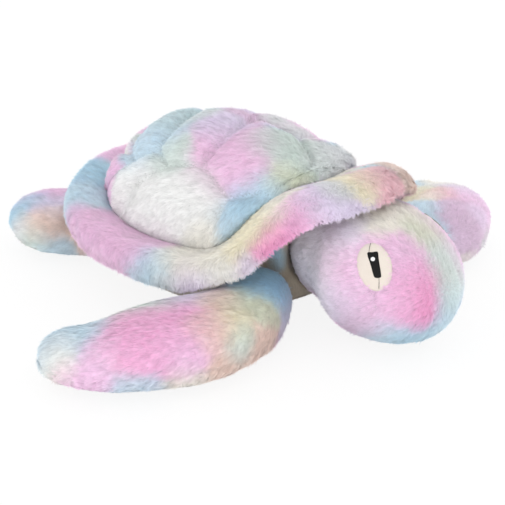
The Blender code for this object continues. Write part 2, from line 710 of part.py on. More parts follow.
def build_flipper(kind, side, size, collection, materials):
    """Skin open at the root, where it is sewn to the body, and the filling inside it."""
    axis, course, radius, thicknesses, _ = size
    label = kind + ("_right" if side < 0 else "_left")
    origin = (axis[0] * -side, axis[1], GROUND_CLEARANCE + thicknesses[0] / 2)
    bm = bmesh.new()
    rings = flipper_rings(axis, course, radius, thicknesses, 0.0, True)
    add_rings(bm, flipper_side(rings, side), False, True)
    skin = object_from(bm, "flipper_" + label, collection, materials["flipper"], origin)
    wall = skin.modifiers.new("fabric", "SOLIDIFY")
    wall.thickness = FLIPPER_WALL
    wall.offset = -1.0

    bm = bmesh.new()
    inset = FLIPPER_WALL + 2 * FILL_GAP
    rings = flipper_rings(axis, course, radius, thicknesses, inset, False)
    add_rings(bm, flipper_side(rings, side), True, True)
    object_from(bm, "filling_" + label, collection, materials["filling"], origin)


def flipper_trees(side, size):
    """The flipper's outside through its whole sweep, for the rim that lies over it."""
    axis, course, radius, thicknesses, sweep = size
    rings = flipper_side(flipper_rings(axis, course, radius, thicknesses, 0.0, False), side)
    last = SWEEP_STEPS - 1
    turns = [-side * (sweep[0] + (sweep[1] - sweep[0]) * i / last) for i in range(SWEEP_STEPS)]
    return swept_trees(rings, (axis[0] * -side, axis[1]), turns)


def seat_cutter(name, axis, radius, low, high, collection):
    """Upright cylinder whose flats clear a limb's round root."""
    bm = bmesh.new()
    clear = (radius + RUNNING_GAP) * FLAT_GROWTH_SHARE
    bmesh.ops.create_cone(bm, cap_ends=True, segments=SEAT_SIDES, radius1=clear, radius2=clear, depth=high - low)
    bmesh.ops.translate(bm, vec=(axis[0], axis[1], (high + low) / 2), verts=bm.verts)
    return make_cutter(bm, name, collection)


def main():
    clear_scene()
    turtle = new_collection("plush_turtle")
    cutters = new_collection("cutters")
    plush = {
        "dome": new_material("plush dome", (0.80, 0.72, 0.80), 0.95),
        "rim": new_material("plush rim", (0.70, 0.62, 0.80), 0.95),
        "belly": new_material("short pile belly", (0.78, 0.72, 0.62), 0.9),
        "flipper": new_material("plush flipper", (0.85, 0.55, 0.70), 0.95),
        "filling": new_material("fibre filling", (0.9, 0.9, 0.9), 1.0),
        "pouch": new_material("pouch cloth", (0.75, 0.75, 0.72), 0.9),
        "head_panel_right": new_material("plush head", (0.88, 0.62, 0.75), 0.95),
        "head_gusset": new_material("plush gusset", (0.60, 0.75, 0.78), 0.95),
        "eye_white": new_material("eye felt", (0.85, 0.82, 0.74), 0.85),
        "eye_pupil": new_material("eye black", (0.01, 0.01, 0.01), 0.5),
        "eye_highlight": new_material("eye highlight", (0.95, 0.95, 0.95), 0.6),
    }
    plush["head_panel_left"] = plush["head_panel_right"]
    plush["head_filling"] = plush["filling"]

    front_thicknesses = (FRONT_ROOT_THICKNESS, FRONT_MID_THICKNESS, FRONT_TIP_THICKNESS)
    hind_thicknesses = (HIND_ROOT_THICKNESS, HIND_MID_THICKNESS, HIND_TIP_THICKNESS)
    right_front = (FRONT_AXIS, FRONT_COURSE, FRONT_ROOT_RADIUS, front_thicknesses, (0.0, FRONT_SWEEP))
    left_front = (FRONT_AXIS, LEFT_FRONT_COURSE, FRONT_ROOT_RADIUS, front_thicknesses,
                  (-LEFT_SWEEP_BACK, LEFT_SWEEP_AHEAD))
    hind = (HIND_AXIS, HIND_COURSE, HIND_ROOT_RADIUS, hind_thicknesses, (-HIND_SWEEP_IN, HIND_SWEEP_OUT))
    limbs = ((-1, "front", right_front), (1, "front", left_front), (-1, "hind", hind), (1, "hind", hind))
    half_turn = HEAD_TURN / 2
    limb_trees = swept_trees(head_rings(0.0, HEAD_SHARES), (0.0, NECK_AXIS_Y),
                             (-HEAD_TURN, -half_turn, 0.0, half_turn, HEAD_TURN))
    for side, _, size in limbs:
        limb_trees += flipper_trees(side, size)

    build_dome(turtle, plush["dome"])
    build_rim(limb_trees, turtle, plush["rim"])
    belly = build_belly(turtle, plush["belly"])
    build_pouch(turtle, plush["pouch"])
    filling = build_body_filling(turtle, cutters, plush["filling"])
    pieces, tree = build_head(turtle, cutters, plush)
    for side in (-1, 1):
        build_eye(side, tree, turtle, plush)
    for side, kind, size in limbs:
        build_flipper(kind, side, size, turtle, plush)
        axis, _, radius, thicknesses, _ = size
        seat = seat_cutter(f"{kind}_seat_{side}", (axis[0] * -side, axis[1]), radius, -OVERRUN,
                           GROUND_CLEARANCE + thicknesses[0] + RUNNING_GAP, cutters)
        cut(belly, seat)
        cut(filling, seat)

    # Neck seat: the ball of the nape with a running gap, cut out of belly and filling
    bm = bmesh.new()
    bmesh.ops.create_uvsphere(bm, u_segments=SEAT_SIDES, v_segments=SEAT_SIDES // 2, radius=FLAT_GROWTH_SHARE ** 2)
    clear = NECK_RADIUS + RUNNING_GAP
    bmesh.ops.scale(bm, vec=(clear, clear, NECK_HALF_HEIGHT + RUNNING_GAP), verts=bm.verts)
    bmesh.ops.translate(bm, vec=(0.0, NECK_AXIS_Y, NECK_CENTRE_Z), verts=bm.verts)
    neck_seat = make_cutter(bm, "neck_seat", cutters)
    for piece in (belly, filling):
        cut(piece, neck_seat)


main()
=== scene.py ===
# Plush sea turtle in long, tie-dyed pile fabric: every stuffed form is a smooth skin with combed pile on it.
# Metres, +Z up. The turtle faces -Y and its right side is -X.
import math

import bmesh
import bpy
import numpy as np
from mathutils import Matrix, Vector
from mathutils.bvhtree import BVHTree
from mathutils.kdtree import KDTree


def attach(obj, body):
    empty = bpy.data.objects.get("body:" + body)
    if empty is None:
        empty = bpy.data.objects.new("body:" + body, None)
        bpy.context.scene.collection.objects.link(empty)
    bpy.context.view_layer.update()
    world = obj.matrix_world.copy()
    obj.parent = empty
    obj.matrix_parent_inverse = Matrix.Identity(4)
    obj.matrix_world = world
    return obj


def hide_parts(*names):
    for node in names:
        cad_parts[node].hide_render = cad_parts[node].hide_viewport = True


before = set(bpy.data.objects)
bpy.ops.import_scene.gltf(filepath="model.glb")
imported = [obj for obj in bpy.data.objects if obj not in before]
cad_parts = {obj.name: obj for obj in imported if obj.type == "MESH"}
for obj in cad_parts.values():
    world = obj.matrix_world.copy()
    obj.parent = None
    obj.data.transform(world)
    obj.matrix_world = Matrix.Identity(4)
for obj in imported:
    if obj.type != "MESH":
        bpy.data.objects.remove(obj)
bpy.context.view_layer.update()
print("frame loaded")

# Photograph's view: the turtle's right front corner, a little from above
cameraSettings = {
    "lookAt": (0.0, 0.0, 0.062),
    "lookAtPixel": (228, 203),  # where that point shows
    "fromFront": 48,            # degrees from the nose towards the right side
    "elevation": 25,
    "distance": 1.3,
    "metresPerPixel": 0.00085,  # at that point
    "imageSize": 505,
    "sensor": 36.0,
}

lightSettings = {
    "world": 1.02,              # as a light; seen straight on it is 1
    "lamps": (                  # place, size, watts
        ((-0.9, -0.5, 1.5), 1.2, 0.6),
        ((-1.1, -1.2, 0.4), 1.6, 4.0),
        ((-1.5, -0.1, 0.3), 1.4, 2.6),
        ((0.9, -1.1, 1.1), 1.4, 2.0),
        ((0.3, 1.2, 1.3), 1.2, 1.2),
    ),
    "floor": "FFFFFF",
    "floorReach": 6.0,
    "floorGlow": 0.88,          # share of the floor's brightness that takes no shadow
}

# Dye colours of the cloth, as the photograph shows them
dyes = {
    "white": "F2F2F1", "cream": "F3EFE6", "yellow": "F0E9CF", "peach": "EDD5CA", "salmon": "F0C8D0",
    "pink": "F2CDE9", "magenta": "F5ABD6", "lilac": "E6DCF0", "mauve": "DCC3DA", "sky": "CFE4F0",
    "blue": "B7D8EA", "teal": "CBDEE2", "mint": "D8E5DF", "green": "DEE3CF", "grey": "E0E2E4",
    # The frost and azure dyes are the cloth's lilac-white and blue, made paler as painted light against the
    # shade that the hood and the rim cast
    "frostWithPaintedLight": "F5F0FA", "rose": "F4BDE0", "azureWithPaintedLight": "ABD8F2",
    "bellyLight": "CFC4B2", "bellyDark": "BFB29E",
}

surfaces = {
    "paper": {"Roughness": 1.0, "Specular IOR Level": 0.0},
    "pile": {"Roughness": 0.88, "Specular IOR Level": 0.2, "Sheen Weight": 0.35, "Sheen Roughness": 0.45},
    "felt": {"Roughness": 0.95, "Specular IOR Level": 0.15, "Sheen Weight": 0.2},
    "satin": {"Roughness": 0.5, "Specular IOR Level": 0.22},
}


def linear(hexCode):
    out = []
    for i in (0, 2, 4):
        c = int(hexCode[i:i + 2], 16) / 255
        out.append(c / 12.92 if c <= 0.04045 else ((c + 0.055) / 1.055) ** 2.4)
    return (*out, 1.0)


def linkObject(name, data):
    linked = bpy.data.objects.new(name, data)
    bpy.context.scene.collection.objects.link(linked)
    return linked


def meshOf(bm, name):
    mesh = bpy.data.meshes.new(name)
    bm.to_mesh(mesh)
    bm.free()
    return mesh


def newMaterial(name, surface):
    material = bpy.data.materials.new(name)
    material.use_nodes = True
    tree = material.node_tree
    shader = tree.nodes["Principled BSDF"]
    for socket, value in surfaces[surface].items():
        shader.inputs[socket].default_value = value
    return material, tree, shader


# Nodes, for materials and for the pile. A socket takes a plain value or another node's output.
def addNode(tree, kind, values=None, **settings):
    node = tree.nodes.new(kind)
    for name, value in settings.items():
        setattr(node, name, value)
    for socket, value in (values or {}).items():
        if isinstance(value, bpy.types.NodeSocket):
            tree.links.new(value, node.inputs[socket])
        else:
            node.inputs[socket].default_value = value
    return node


def maths(tree, operation, a, b):
    return addNode(tree, "ShaderNodeMath", {0: a, 1: b}, operation=operation).outputs[0]


def times(tree, a, b):
    return maths(tree, "MULTIPLY", a, b)


def vectors(tree, operation, a, b=(0.0, 0.0, 0.0), out=0):
    return addNode(tree, "ShaderNodeVectorMath", {0: a, 1: b}, operation=operation).outputs[out]


def together(tree, first, *others):
    for other in others:
        first = vectors(tree, "ADD", first, other)
    return first


def scaled(tree, a, scale):
    return addNode(tree, "ShaderNodeVectorMath", {0: a, "Scale": scale}, operation="SCALE").outputs[0]


def mapped(tree, value, low, high, toLow, toHigh, **settings):
    node = addNode(tree, "ShaderNodeMapRange", {0: value, 1: low, 2: high, 3: toLow, 4: toHigh}, **settings)
    return node.outputs[0]


def noise(tree, place, scale, detail):
    return addNode(tree, "ShaderNodeTexNoise", {"Vector": place, "Scale": scale, "Detail": detail}).outputs


def centredNoise(tree, place, scale, detail):
    return vectors(tree, "SUBTRACT", noise(tree, place, scale, detail)["Color"], (0.5, 0.5, 0.5))


def setUpCamera():
    s = cameraSettings
    away = math.radians(s["fromFront"])
    up = math.radians(s["elevation"])
    back = Vector((-math.sin(away) * math.cos(up), -math.cos(away) * math.cos(up), math.sin(up)))
    data = bpy.data.cameras.new("camera")
    camera = linkObject("camera", data)
    camera.location = Vector(s["lookAt"]) + back * s["distance"]
    camera.rotation_euler = back.to_track_quat("Z", "Y").to_euler()
    data.sensor_width = s["sensor"]
    data.lens = s["sensor"] * s["distance"] / s["metresPerPixel"] / s["imageSize"]
    data.shift_x = (s["imageSize"] / 2 - s["lookAtPixel"][0]) / s["imageSize"]
    data.shift_y = (s["lookAtPixel"][1] - s["imageSize"] / 2) / s["imageSize"]
    bpy.context.scene.camera = camera


def setUpWorld():
    # Plain white where it is seen, in a reflection too, and a little stronger as a light
    world = bpy.data.worlds.new("studio")
    bpy.context.scene.world = world
    world.use_nodes = True
    tree = world.node_tree
    ground = tree.nodes["Background"]
    rays = addNode(tree, "ShaderNodeLightPath").outputs
    seen = maths(tree, "MAXIMUM", rays["Is Camera Ray"], rays["Is Glossy Ray"])
    seen = maths(tree, "MAXIMUM", seen, rays["Is Transmission Ray"])
    strength = addNode(tree, "ShaderNodeMix", {0: seen, 2: lightSettings["world"], 3: 1.0}, data_type="FLOAT")
    tree.links.new(strength.outputs[0], ground.inputs["Strength"])
    ground.inputs["Color"].default_value = (1.0, 1.0, 1.0, 1.0)


def setUpLamps():
    for place, size, watts in lightSettings["lamps"]:
        data = bpy.data.lights.new("softbox", "AREA")
        data.energy = watts
        data.size = size
        lamp = linkObject("softbox", data)
        lamp.location = place
        lamp.rotation_euler = Vector(place).to_track_quat("Z", "Y").to_euler()


def setUpFloor():
    s = lightSettings
    bm = bmesh.new()
    bmesh.ops.create_grid(bm, x_segments=1, y_segments=1, size=s["floorReach"])
    floor = linkObject("floor", meshOf(bm, "floor"))
    material, tree, shader = newMaterial("seamless white paper", "paper")
    shader.inputs["Base Color"].default_value = linear(s["floor"])
    rays = addNode(tree, "ShaderNodeLightPath").outputs
    seen = times(tree, rays["Is Camera Ray"], s["floorGlow"])
    glow = addNode(tree, "ShaderNodeEmission", {"Color": (1.0, 1.0, 1.0, 1.0), "Strength": 1.0})
    mixed = addNode(tree, "ShaderNodeMixShader", {0: seen, 1: shader.outputs[0], 2: glow.outputs[0]})
    tree.links.new(mixed.outputs[0], tree.nodes["Material Output"].inputs["Surface"])
    floor.data.materials.append(material)


# Pile fabric: dye spots lie at listed places in millimetres and run softly into each other, on a ground
# that drifts between a few of the dyes
dyeSettings = {
    "creepOver": 34,            # mm
    "creepReach": 18,
    "creepDetail": 2.0,
    "driftOver": 60,
    "driftDetail": 1.0,
    "driftBand": (0.34, 0.66),  # of the noise, from the first dye of the ground to the last
    "groundShare": 0.03,
    "spotReach": 2.3,           # of a spot's radius
}


def dyeColour(tree, ground, spots):
    s = dyeSettings
    place = addNode(tree, "ShaderNodeAttribute", attribute_name="rootPlace").outputs["Vector"]
    mm = scaled(tree, place, 1000.0)

    # Dye creeps unevenly into the cloth
    creep = centredNoise(tree, mm, 1 / s["creepOver"], s["creepDetail"])
    soaked = together(tree, mm, scaled(tree, creep, s["creepReach"]))

    drift = noise(tree, soaked, 1 / s["driftOver"], s["driftDetail"])["Fac"]
    ramp = addNode(tree, "ShaderNodeValToRGB", {0: drift})
    ramp.color_ramp.interpolation = "EASE"
    steps = ramp.color_ramp.elements
    low, high = s["driftBand"]
    while len(steps) < len(ground):
        steps.new(0.5)
    for i, dye in enumerate(ground):
        steps[i].position = low + (high - low) * i / (len(ground) - 1)
        steps[i].color = linear(dyes[dye])
    mixed = scaled(tree, ramp.outputs[0], s["groundShare"])
    weight = s["groundShare"]

    for *centre, radius, dye in spots:
        away = vectors(tree, "DISTANCE", soaked, centre, "Value")
        share = mapped(tree, away, radius * s["spotReach"], 0.0, 0.0, 1.0, interpolation_type="SMOOTHERSTEP")
        mixed = addNode(tree, "ShaderNodeVectorMath", {0: share, 1: linear(dyes[dye])[:3], 2: mixed},
                        operation="MULTIPLY_ADD").outputs[0]
        weight = maths(tree, "ADD", share, weight)
    return vectors(tree, "DIVIDE", mixed, weight)


# Painted shade and light of the fibres: darker at the root, where shade falls among them, lighter at the tip;
# and how far tufts differ in tone
plushPaintedShadeAndTone = {"root": 0.83, "tip": 1.06, "vary": 0.11}
shortPaintedShadeAndTone = {"root": 0.8, "tip": 1.0, "vary": 0.05}


def dyedPile(name, ground, spots, paintedShadeAndTone=plushPaintedShadeAndTone):
    material, tree, shader = newMaterial(name, "pile")
    colour = dyeColour(tree, ground, spots)
    along = addNode(tree, "ShaderNodeAttribute", attribute_name="along").outputs["Fac"]
    tint = addNode(tree, "ShaderNodeAttribute", attribute_name="tint").outputs["Fac"]
    # Painted shade at the root and painted light at the tip. The skin below the pile has neither along nor
    # tint, so it is painted darker still, as shade under the pile.
    light = mapped(tree, along, 0.0, 1.0, paintedShadeAndTone["root"], paintedShadeAndTone["tip"])
    vary = mapped(tree, tint, 0.0, 1.0, 1 - paintedShadeAndTone["vary"], 1 + paintedShadeAndTone["vary"])
    colour = scaled(tree, colour, times(tree, light, vary))
    tree.links.new(colour, shader.inputs["Base Color"])
    return material


# Dye spots: x, y, z and radius in millimetres. The sides that the photograph hides go on in the same dyes.
domeSpots = (
    (-70, 73, 80, 13, "pink"), (-92, -10, 91, 30, "white"), (-75, -29, 108, 18, "white"),
    (-80, 33, 91, 18, "white"), (-48, 44, 123, 20, "sky"), (-13, 37, 132, 17, "teal"),
    (-5, 23, 140, 11, "grey"), (-59, 8, 121, 13, "mint"), (-37, -41, 134, 24, "pink"),
    (-13, -8, 139, 14, "lilac"), (-46, -67, 129, 12, "pink"), (31, 2, 138, 13, "mauve"),
    (46, -18, 131, 11, "grey"), (-9, -64, 139, 17, "mint"), (-3, -82, 134, 18, "mint"),
    (12, -99, 127, 14, "grey"), (40, -47, 130, 10, "grey"), (-51, -82, 121, 12, "sky"),
    (-64, -83, 109, 17, "blue"), (-75, -72, 92, 13, "sky"), (-32, -94, 124, 12, "green"),
    (-82, -49, 78, 10, "cream"), (70, -50, 110, 22, "pink"), (88, 10, 85, 24, "sky"),
    (60, 60, 105, 22, "lilac"), (20, 96, 90, 20, "pink"), (-30, 100, 80, 18, "white"),
    (80, -30, 75, 14, "yellow"),
)
rimSpots = (
    (-54, 119, 70, 18, "blue"), (-88, 89, 70, 16, "sky"), (-108, 77, 67, 10, "pink"),
    (-112, 34, 68, 17, "pink"), (-111, 0, 65, 20, "pink"), (-100, -23, 65, 10, "pink"),
    (-129, -34, 60, 14, "sky"), (-110, -54, 66, 15, "cream"), (-96, -73, 72, 14, "cream"),
    (-84, -88, 87, 16, "yellow"), (-76, -105, 105, 13, "yellow"), (-61, -113, 118, 11, "cream"),
    (-122, -70, 58, 12, "lilac"), (-110, -91, 68, 11, "white"), (-101, -109, 79, 9, "lilac"),
    (-128, -49, 50, 9, "grey"), (-89, -123, 95, 11, "magenta"), (-82, -131, 107, 13, "magenta"),
    (-70, -136, 119, 12, "pink"), (-57, -144, 127, 12, "lilac"), (-35, -141, 129, 9, "grey"),
    (-12, -143, 129, 12, "yellow"), (4, -155, 130, 12, "salmon"), (12, -168, 121, 11, "salmon"),
    (27, -169, 108, 9, "salmon"), (-40, -159, 124, 8, "lilac"), (45, -150, 112, 14, "peach"),
    (84, -125, 90, 18, "salmon"), (118, -60, 60, 24, "pink"), (128, 0, 55, 24, "mint"),
    (110, 70, 60, 24, "lilac"), (50, 125, 66, 22, "yellow"), (0, 138, 66, 16, "pink"),
)
headSpots = (
    # The frost spots lie in the hood's shade: lilac-white cloth with painted light
    (-39, -111, 65, 18, "frostWithPaintedLight"), (-57, -146, 60, 18, "frostWithPaintedLight"), (-41, -144, 94, 16, "frostWithPaintedLight"),
    (-30, -150, 106, 12, "frostWithPaintedLight"), (-11, -169, 107, 12, "cream"), (-55, -169, 78, 18, "pink"),
    (-51, -195, 60, 18, "pink"), (-33, -203, 82, 18, "pink"), (-28, -219, 65, 17, "magenta"),
    (-24, -225, 49, 12, "magenta"), (-41, -212, 56, 11, "pink"), (-60, -169, 50, 14, "lilac"),
    (-54, -185, 36, 12, "mauve"), (-42, -204, 30, 13, "sky"), (-25, -215, 22, 14, "blue"),
    (-11, -224, 26, 11, "sky"), (11, -197, 97, 12, "green"), (9, -215, 82, 12, "mint"),
    (7, -227, 61, 12, "mint"), (0, -230, 45, 13, "sky"), (12, -178, 105, 10, "cream"),
    (45, -200, 75, 26, "pink"), (50, -165, 60, 28, "lilac"), (40, -210, 35, 20, "sky"),
)
frontRightSpots = (
    # The azure spots at the shoulder are the blue cloth with painted light, against the rim's shade
    (-61, -115, 48, 16, "azureWithPaintedLight"), (-80, -108, 54, 13, "azureWithPaintedLight"), (-69, -125, 31, 11, "lilac"),
    (-104, -118, 53, 14, "green"), (-130, -129, 51, 12, "yellow"), (-118, -104, 54, 12, "peach"),
    (-150, -122, 52, 12, "peach"), (-164, -102, 55, 20, "rose"), (-194, -98, 50, 20, "rose"),
    (-187, -71, 51, 16, "rose"), (-178, -123, 44, 13, "pink"), (-216, -72, 45, 12, "pink"),
    (-210, -40, 41, 17, "sky"), (-231, -41, 39, 12, "white"), (-238, -33, 33, 11, "sky"),
    (-242, -49, 29, 11, "cream"), (-238, -61, 22, 10, "pink"), (-229, -81, 22, 9, "pink"),
    (-211, -94, 13, 12, "sky"), (-201, -109, 17, 9, "sky"), (-179, -124, 18, 12, "cream"),
    (-150, -137, 18, 13, "peach"), (-117, -138, 22, 11, "peach"), (-135, -138, 37, 10, "mint"),
    (-160, -60, 20, 24, "mint"), (-120, -70, 40, 20, "lilac"),
)
frontLeftSpots = (
    (152, -113, 55, 12, "salmon"), (134, -146, 54, 15, "mauve"), (132, -164, 33, 14, "mauve"),
    (152, -154, 48, 9, "lilac"), (158, -160, 26, 8, "grey"), (126, -159, 14, 9, "cream"),
    (142, -109, 54, 9, "cream"), (175, -150, 50, 22, "pink"), (195, -130, 40, 22, "lilac"),
    (205, -105, 35, 20, "cream"), (100, -118, 50, 18, "sky"), (140, -90, 40, 18, "yellow"),
)
bellySpots = (
    # The azure spots on the chest are the blue cloth with painted light, against the rim's shade
    (-58, -104, 54, 13, "azureWithPaintedLight"), (-30, -118, 52, 12, "blue"), (58, -104, 54, 13, "azureWithPaintedLight"),
    (30, -118, 52, 12, "blue"), (0, -122, 52, 12, "blue"), (-60, -98, 14, 15, "bellyDark"),
    (-30, -115, 14, 15, "bellyLight"), (60, -98, 14, 15, "bellyDark"), (30, -115, 14, 15, "bellyLight"),
    (0, -120, 12, 15, "bellyDark"), (-100, 0, 30, 45, "bellyLight"), (100, 0, 30, 45, "bellyDark"),
    (0, 110, 30, 45, "bellyLight"), (0, 0, 0, 60, "bellyDark"),
)
hindSpots = (
    (-81, 130, 46, 12, "lilac"), (-64, 127, 47, 10, "lilac"), (-101, 121, 39, 12, "peach"),
    (-88, 118, 40, 10, "peach"), (-109, 126, 23, 11, "mint"), (-96, 115, 14, 11, "sky"),
    (-108, 143, 34, 9, "grey"), (-88, 160, 42, 14, "blue"), (-60, 165, 46, 20, "pink"),
    (75, 128, 48, 20, "sky"), (92, 140, 36, 20, "pink"), (70, 165, 46, 24, "lilac"),
)


weldWithin = 1e-5


def weldedCopy(node):
    bm = bmesh.new()
    bm.from_mesh(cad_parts[node].data)
    bmesh.ops.remove_doubles(bm, verts=bm.verts, dist=weldWithin)
    bm.normal_update()
    return bm


def stuffedForm(name, skins, fillings, s):
    # Smooth form from one piece's CAD solids. A filling is swollen first, so that it meets its skin.
    bm = bmesh.new()
    for node in (*skins, *fillings):
        part = weldedCopy(node)
        if node in fillings:
            for v in part.verts:
                v.co += v.normal * s["swell"]
        mesh = meshOf(part, "part")
        bm.from_mesh(mesh)
        bpy.data.meshes.remove(mesh)
    form = linkObject(name, meshOf(bm, name))
    smoothOut(form, s["voxel"], s["rounds"])
    return form, *shapeOf(form)


def smoothOut(form, voxel, rounds):
    remesh = form.modifiers.new("remesh", "REMESH")
    remesh.mode = "VOXEL"
    remesh.voxel_size = voxel
    smooth = form.modifiers.new("smooth", "SMOOTH")
    smooth.iterations = rounds
    applyModifiers(form)
    keepLargestShell(form)


def applyModifiers(form):
    shaped = bpy.data.meshes.new_from_object(form.evaluated_get(bpy.context.evaluated_depsgraph_get()))
    form.modifiers.clear()
    form.data = shaped


def keepLargestShell(form):
    bm = bmesh.new()
    bm.from_mesh(form.data)
    left = set(bm.verts)
    shells = []
    while left:
        stack = [left.pop()]
        shell = set(stack)
        while stack:
            for e in stack.pop().link_edges:
                for v in e.verts:
                    if v in left:
                        left.discard(v)
                        shell.add(v)
                        stack.append(v)
        shells.append(shell)
    shells.sort(key=len)
    bmesh.ops.delete(bm, geom=[v for shell in shells[:-1] for v in shell], context="VERTS")
    bm.to_mesh(form.data)
    bm.free()


def readVertices(form, field):
    numbers = np.empty(len(form.data.vertices) * 3)
    form.data.vertices.foreach_get(field, numbers)
    return numbers.reshape(-1, 3)


def shapeOf(form):
    return readVertices(form, "co"), readVertices(form, "normal")


def setPlaces(form, places):
    form.data.vertices.foreach_set("co", places.ravel())
    form.data.update()


def storeNumbers(form, name, numbers):
    kind, field = ("FLOAT_VECTOR", "vector") if numbers.ndim == 2 else ("FLOAT", "value")
    attribute = form.data.attributes.new(name, kind, "POINT")
    attribute.data.foreach_set(field, numbers.astype(np.float32).ravel())


def softStep(x, low, high):
    t = np.clip((x - low) / (high - low), 0.0, 1.0)
    return t * t * (3 - 2 * t)


def bell(x, width):
    return np.exp(-(x / width) ** 2)


def outwardFrom(places, centre):
    away = places - np.array(centre)
    return away / np.maximum(np.linalg.norm(away, axis=1), 1e-9)[:, None]


def combOf(places, comb, away):
    # The pile lies along a steady direction and away from a centre
    steady, centre = comb
    return np.array(steady) + np.reshape(away, (-1, 1)) * outwardFrom(places, centre)


def lumps(places, size, seed, waves=6, shortest=0.7, longer=0.12):
    # Smooth uneven stuffing, from -1 to 1: waves of unlike length in random directions
    phase = np.random.default_rng(seed).uniform(0, 2 * math.pi, (waves, 3))[:, 0]
    turn = np.random.default_rng(seed + 1).normal(size=(waves, 3))
    turn /= np.linalg.norm(turn, axis=1)[:, None]
    out = np.zeros(len(places))
    for i in range(waves):
        out += np.sin(places @ turn[i] * 2 * math.pi / (size * (shortest + longer * i)) + phase[i])
    return out / waves


def puffOf(places, s, seed):
    return s["puff"] * lumps(places, s["puffOver"], seed)


def treeOf(points):
    tree = KDTree(len(points))
    for i, point in enumerate(points):
        tree.insert(point, i)
    tree.balance()
    return tree


def distancesTo(tree, places):
    return np.array([tree.find(p)[2] for p in places])


# Pile: one flat pointed blade stands for a few dozen fibres, which lean over along the comb. It lies low, so
# that its dark underside doesn't show.
bladeShape = {"run": 0.98, "rise": 0.12}

tuftSettings = {
    "drawnOut": 0.62,           # how far tufts are drawn out along the comb, from 0 to 1
    "detail": 1.0,
    "swirlUp": 0.2,             # share of the swirl that also turns a blade's face
    "stray": 0.3,               # of a single blade's lean
    "lift": 0.12,               # of a single blade's face
    "wildFrom": 0.92,           # one blade in twelve lifts more
    "wildMore": 2.2,
    "clumpFiner": 1.5,          # than the swirl
    "clumpDetail": 2.0,
    "clumpLength": (0.8, 0.4),  # least share of the length, and what a clump adds
    "lengths": (0.8, 1.15),
    "widths": (0.7, 1.2),
    "mottleBand": (0.36, 0.64),
    "mottle": 0.75,             # of the tint, and the rest goes by blade
    "grain": 0.25,
    "ownShading": 0.2,          # share of a blade's own normal
}

# Blades per square metre; length, width and tuft size in metres; swirl and shading of the tufts
pileSockets = ("Density", "Length", "Width", "Tuft Size", "Tuft Strength", "Tuft Relief")
pilesOf = {
    "dome": (2.25e6, 0.0058, 0.0013, 0.0042, 1.7, 1.15),
    "rim": (2.5e6, 0.0060, 0.0013, 0.0044, 1.9, 1.25),
    "head": (3.4e6, 0.0056, 0.0011, 0.0040, 2.4, 1.5),
    "flipper": (3.2e6, 0.0060, 0.0012, 0.0044, 1.9, 1.25),
    "belly": (1.8e6, 0.0032, 0.0009, 0.0045, 1.0, 0.5),
}
pileInset = 0.0016  # the skin lies this far inside the CAD's outside, and the tips of the pile end there


def makeBlade():
    bm = bmesh.new()
    layer = bm.verts.layers.float.new("along")
    corners = ((0.0, -0.5, 0.0), (0.0, 0.5, 0.0), (bladeShape["run"], 0.0, bladeShape["rise"]))
    row = [bm.verts.new(c) for c in corners]
    row[2][layer] = 1.0
    face = bm.faces.new(row)
    face.normal_update()
    if face.normal.z < 0:
        face.normal_flip()
    return linkObject("pileBlade", meshOf(bm, "pileBlade"))


def named(tree, name, kind="FLOAT"):
    return addNode(tree, "GeometryNodeInputNamedAttribute", {"Name": name}, data_type=kind).outputs[0]


def store(tree, geometry, name, value, kind="FLOAT_VECTOR"):
    values = {"Geometry": geometry, "Name": name, "Value": value}
    return addNode(tree, "GeometryNodeStoreNamedAttribute", values, data_type=kind, domain="POINT").outputs[0]


def chance(tree, given, low, high, seed):
    values = {2: low, 3: high, "Seed": maths(tree, "ADD", given["Seed"], seed)}
    return addNode(tree, "FunctionNodeRandomValue", values, data_type="FLOAT").outputs[1]


def chanceEachWay(tree, given, reach, seed):
    values = {0: (-reach,) * 3, 1: (reach,) * 3, "Seed": maths(tree, "ADD", given["Seed"], seed)}
    return addNode(tree, "FunctionNodeRandomValue", values, data_type="FLOAT_VECTOR").outputs[0]


def pileInterface(tree):
    wanted = [(name, "Float") for name in pileSockets]
    for name, kind in (("Geometry", "Geometry"), *wanted, ("Seed", "Int"), ("Material", "Material")):
        tree.interface.new_socket(name, in_out="INPUT", socket_type="NodeSocket" + kind)
    tree.interface.new_socket("Geometry", in_out="OUTPUT", socket_type="NodeSocketGeometry")
    return addNode(tree, "NodeGroupInput").outputs


def tufts(tree, given, place):
    # Neighbours lean and catch the light alike, which gathers the pile in tufts
    s = tuftSettings
    finer = maths(tree, "DIVIDE", 1.0, given["Tuft Size"])
    flow = vectors(tree, "NORMALIZE", named(tree, "comb", "FLOAT_VECTOR"))
    along = times(tree, vectors(tree, "DOT_PRODUCT", place, flow, "Value"), s["drawnOut"])
    drawn = vectors(tree, "SUBTRACT", place, scaled(tree, flow, along))
    swirl = scaled(tree, centredNoise(tree, drawn, finer, s["detail"]), named(tree, "tufting"))
    clump = noise(tree, drawn, times(tree, finer, s["clumpFiner"]), s["clumpDetail"])["Fac"]
    return swirl, clump


def bladeTurn(tree, given, skinNormal, swirl):
    s = tuftSettings
    swirl = scaled(tree, swirl, given["Tuft Strength"])
    stray = chanceEachWay(tree, given, s["stray"], 1)
    lean = together(tree, named(tree, "comb", "FLOAT_VECTOR"), swirl, stray)
    wild = maths(tree, "GREATER_THAN", chance(tree, given, 0.0, 1.0, 6), s["wildFrom"])
    wild = maths(tree, "ADD", 1.0, times(tree, s["wildMore"], wild))
    lift = scaled(tree, chanceEachWay(tree, given, s["lift"], 2), wild)
    upright = together(tree, skinNormal, lift, scaled(tree, swirl, s["swirlUp"]))
    return addNode(tree, "FunctionNodeAxesToRotation", {0: upright, 1: lean},
                   primary_axis="Z", secondary_axis="X").outputs[0]


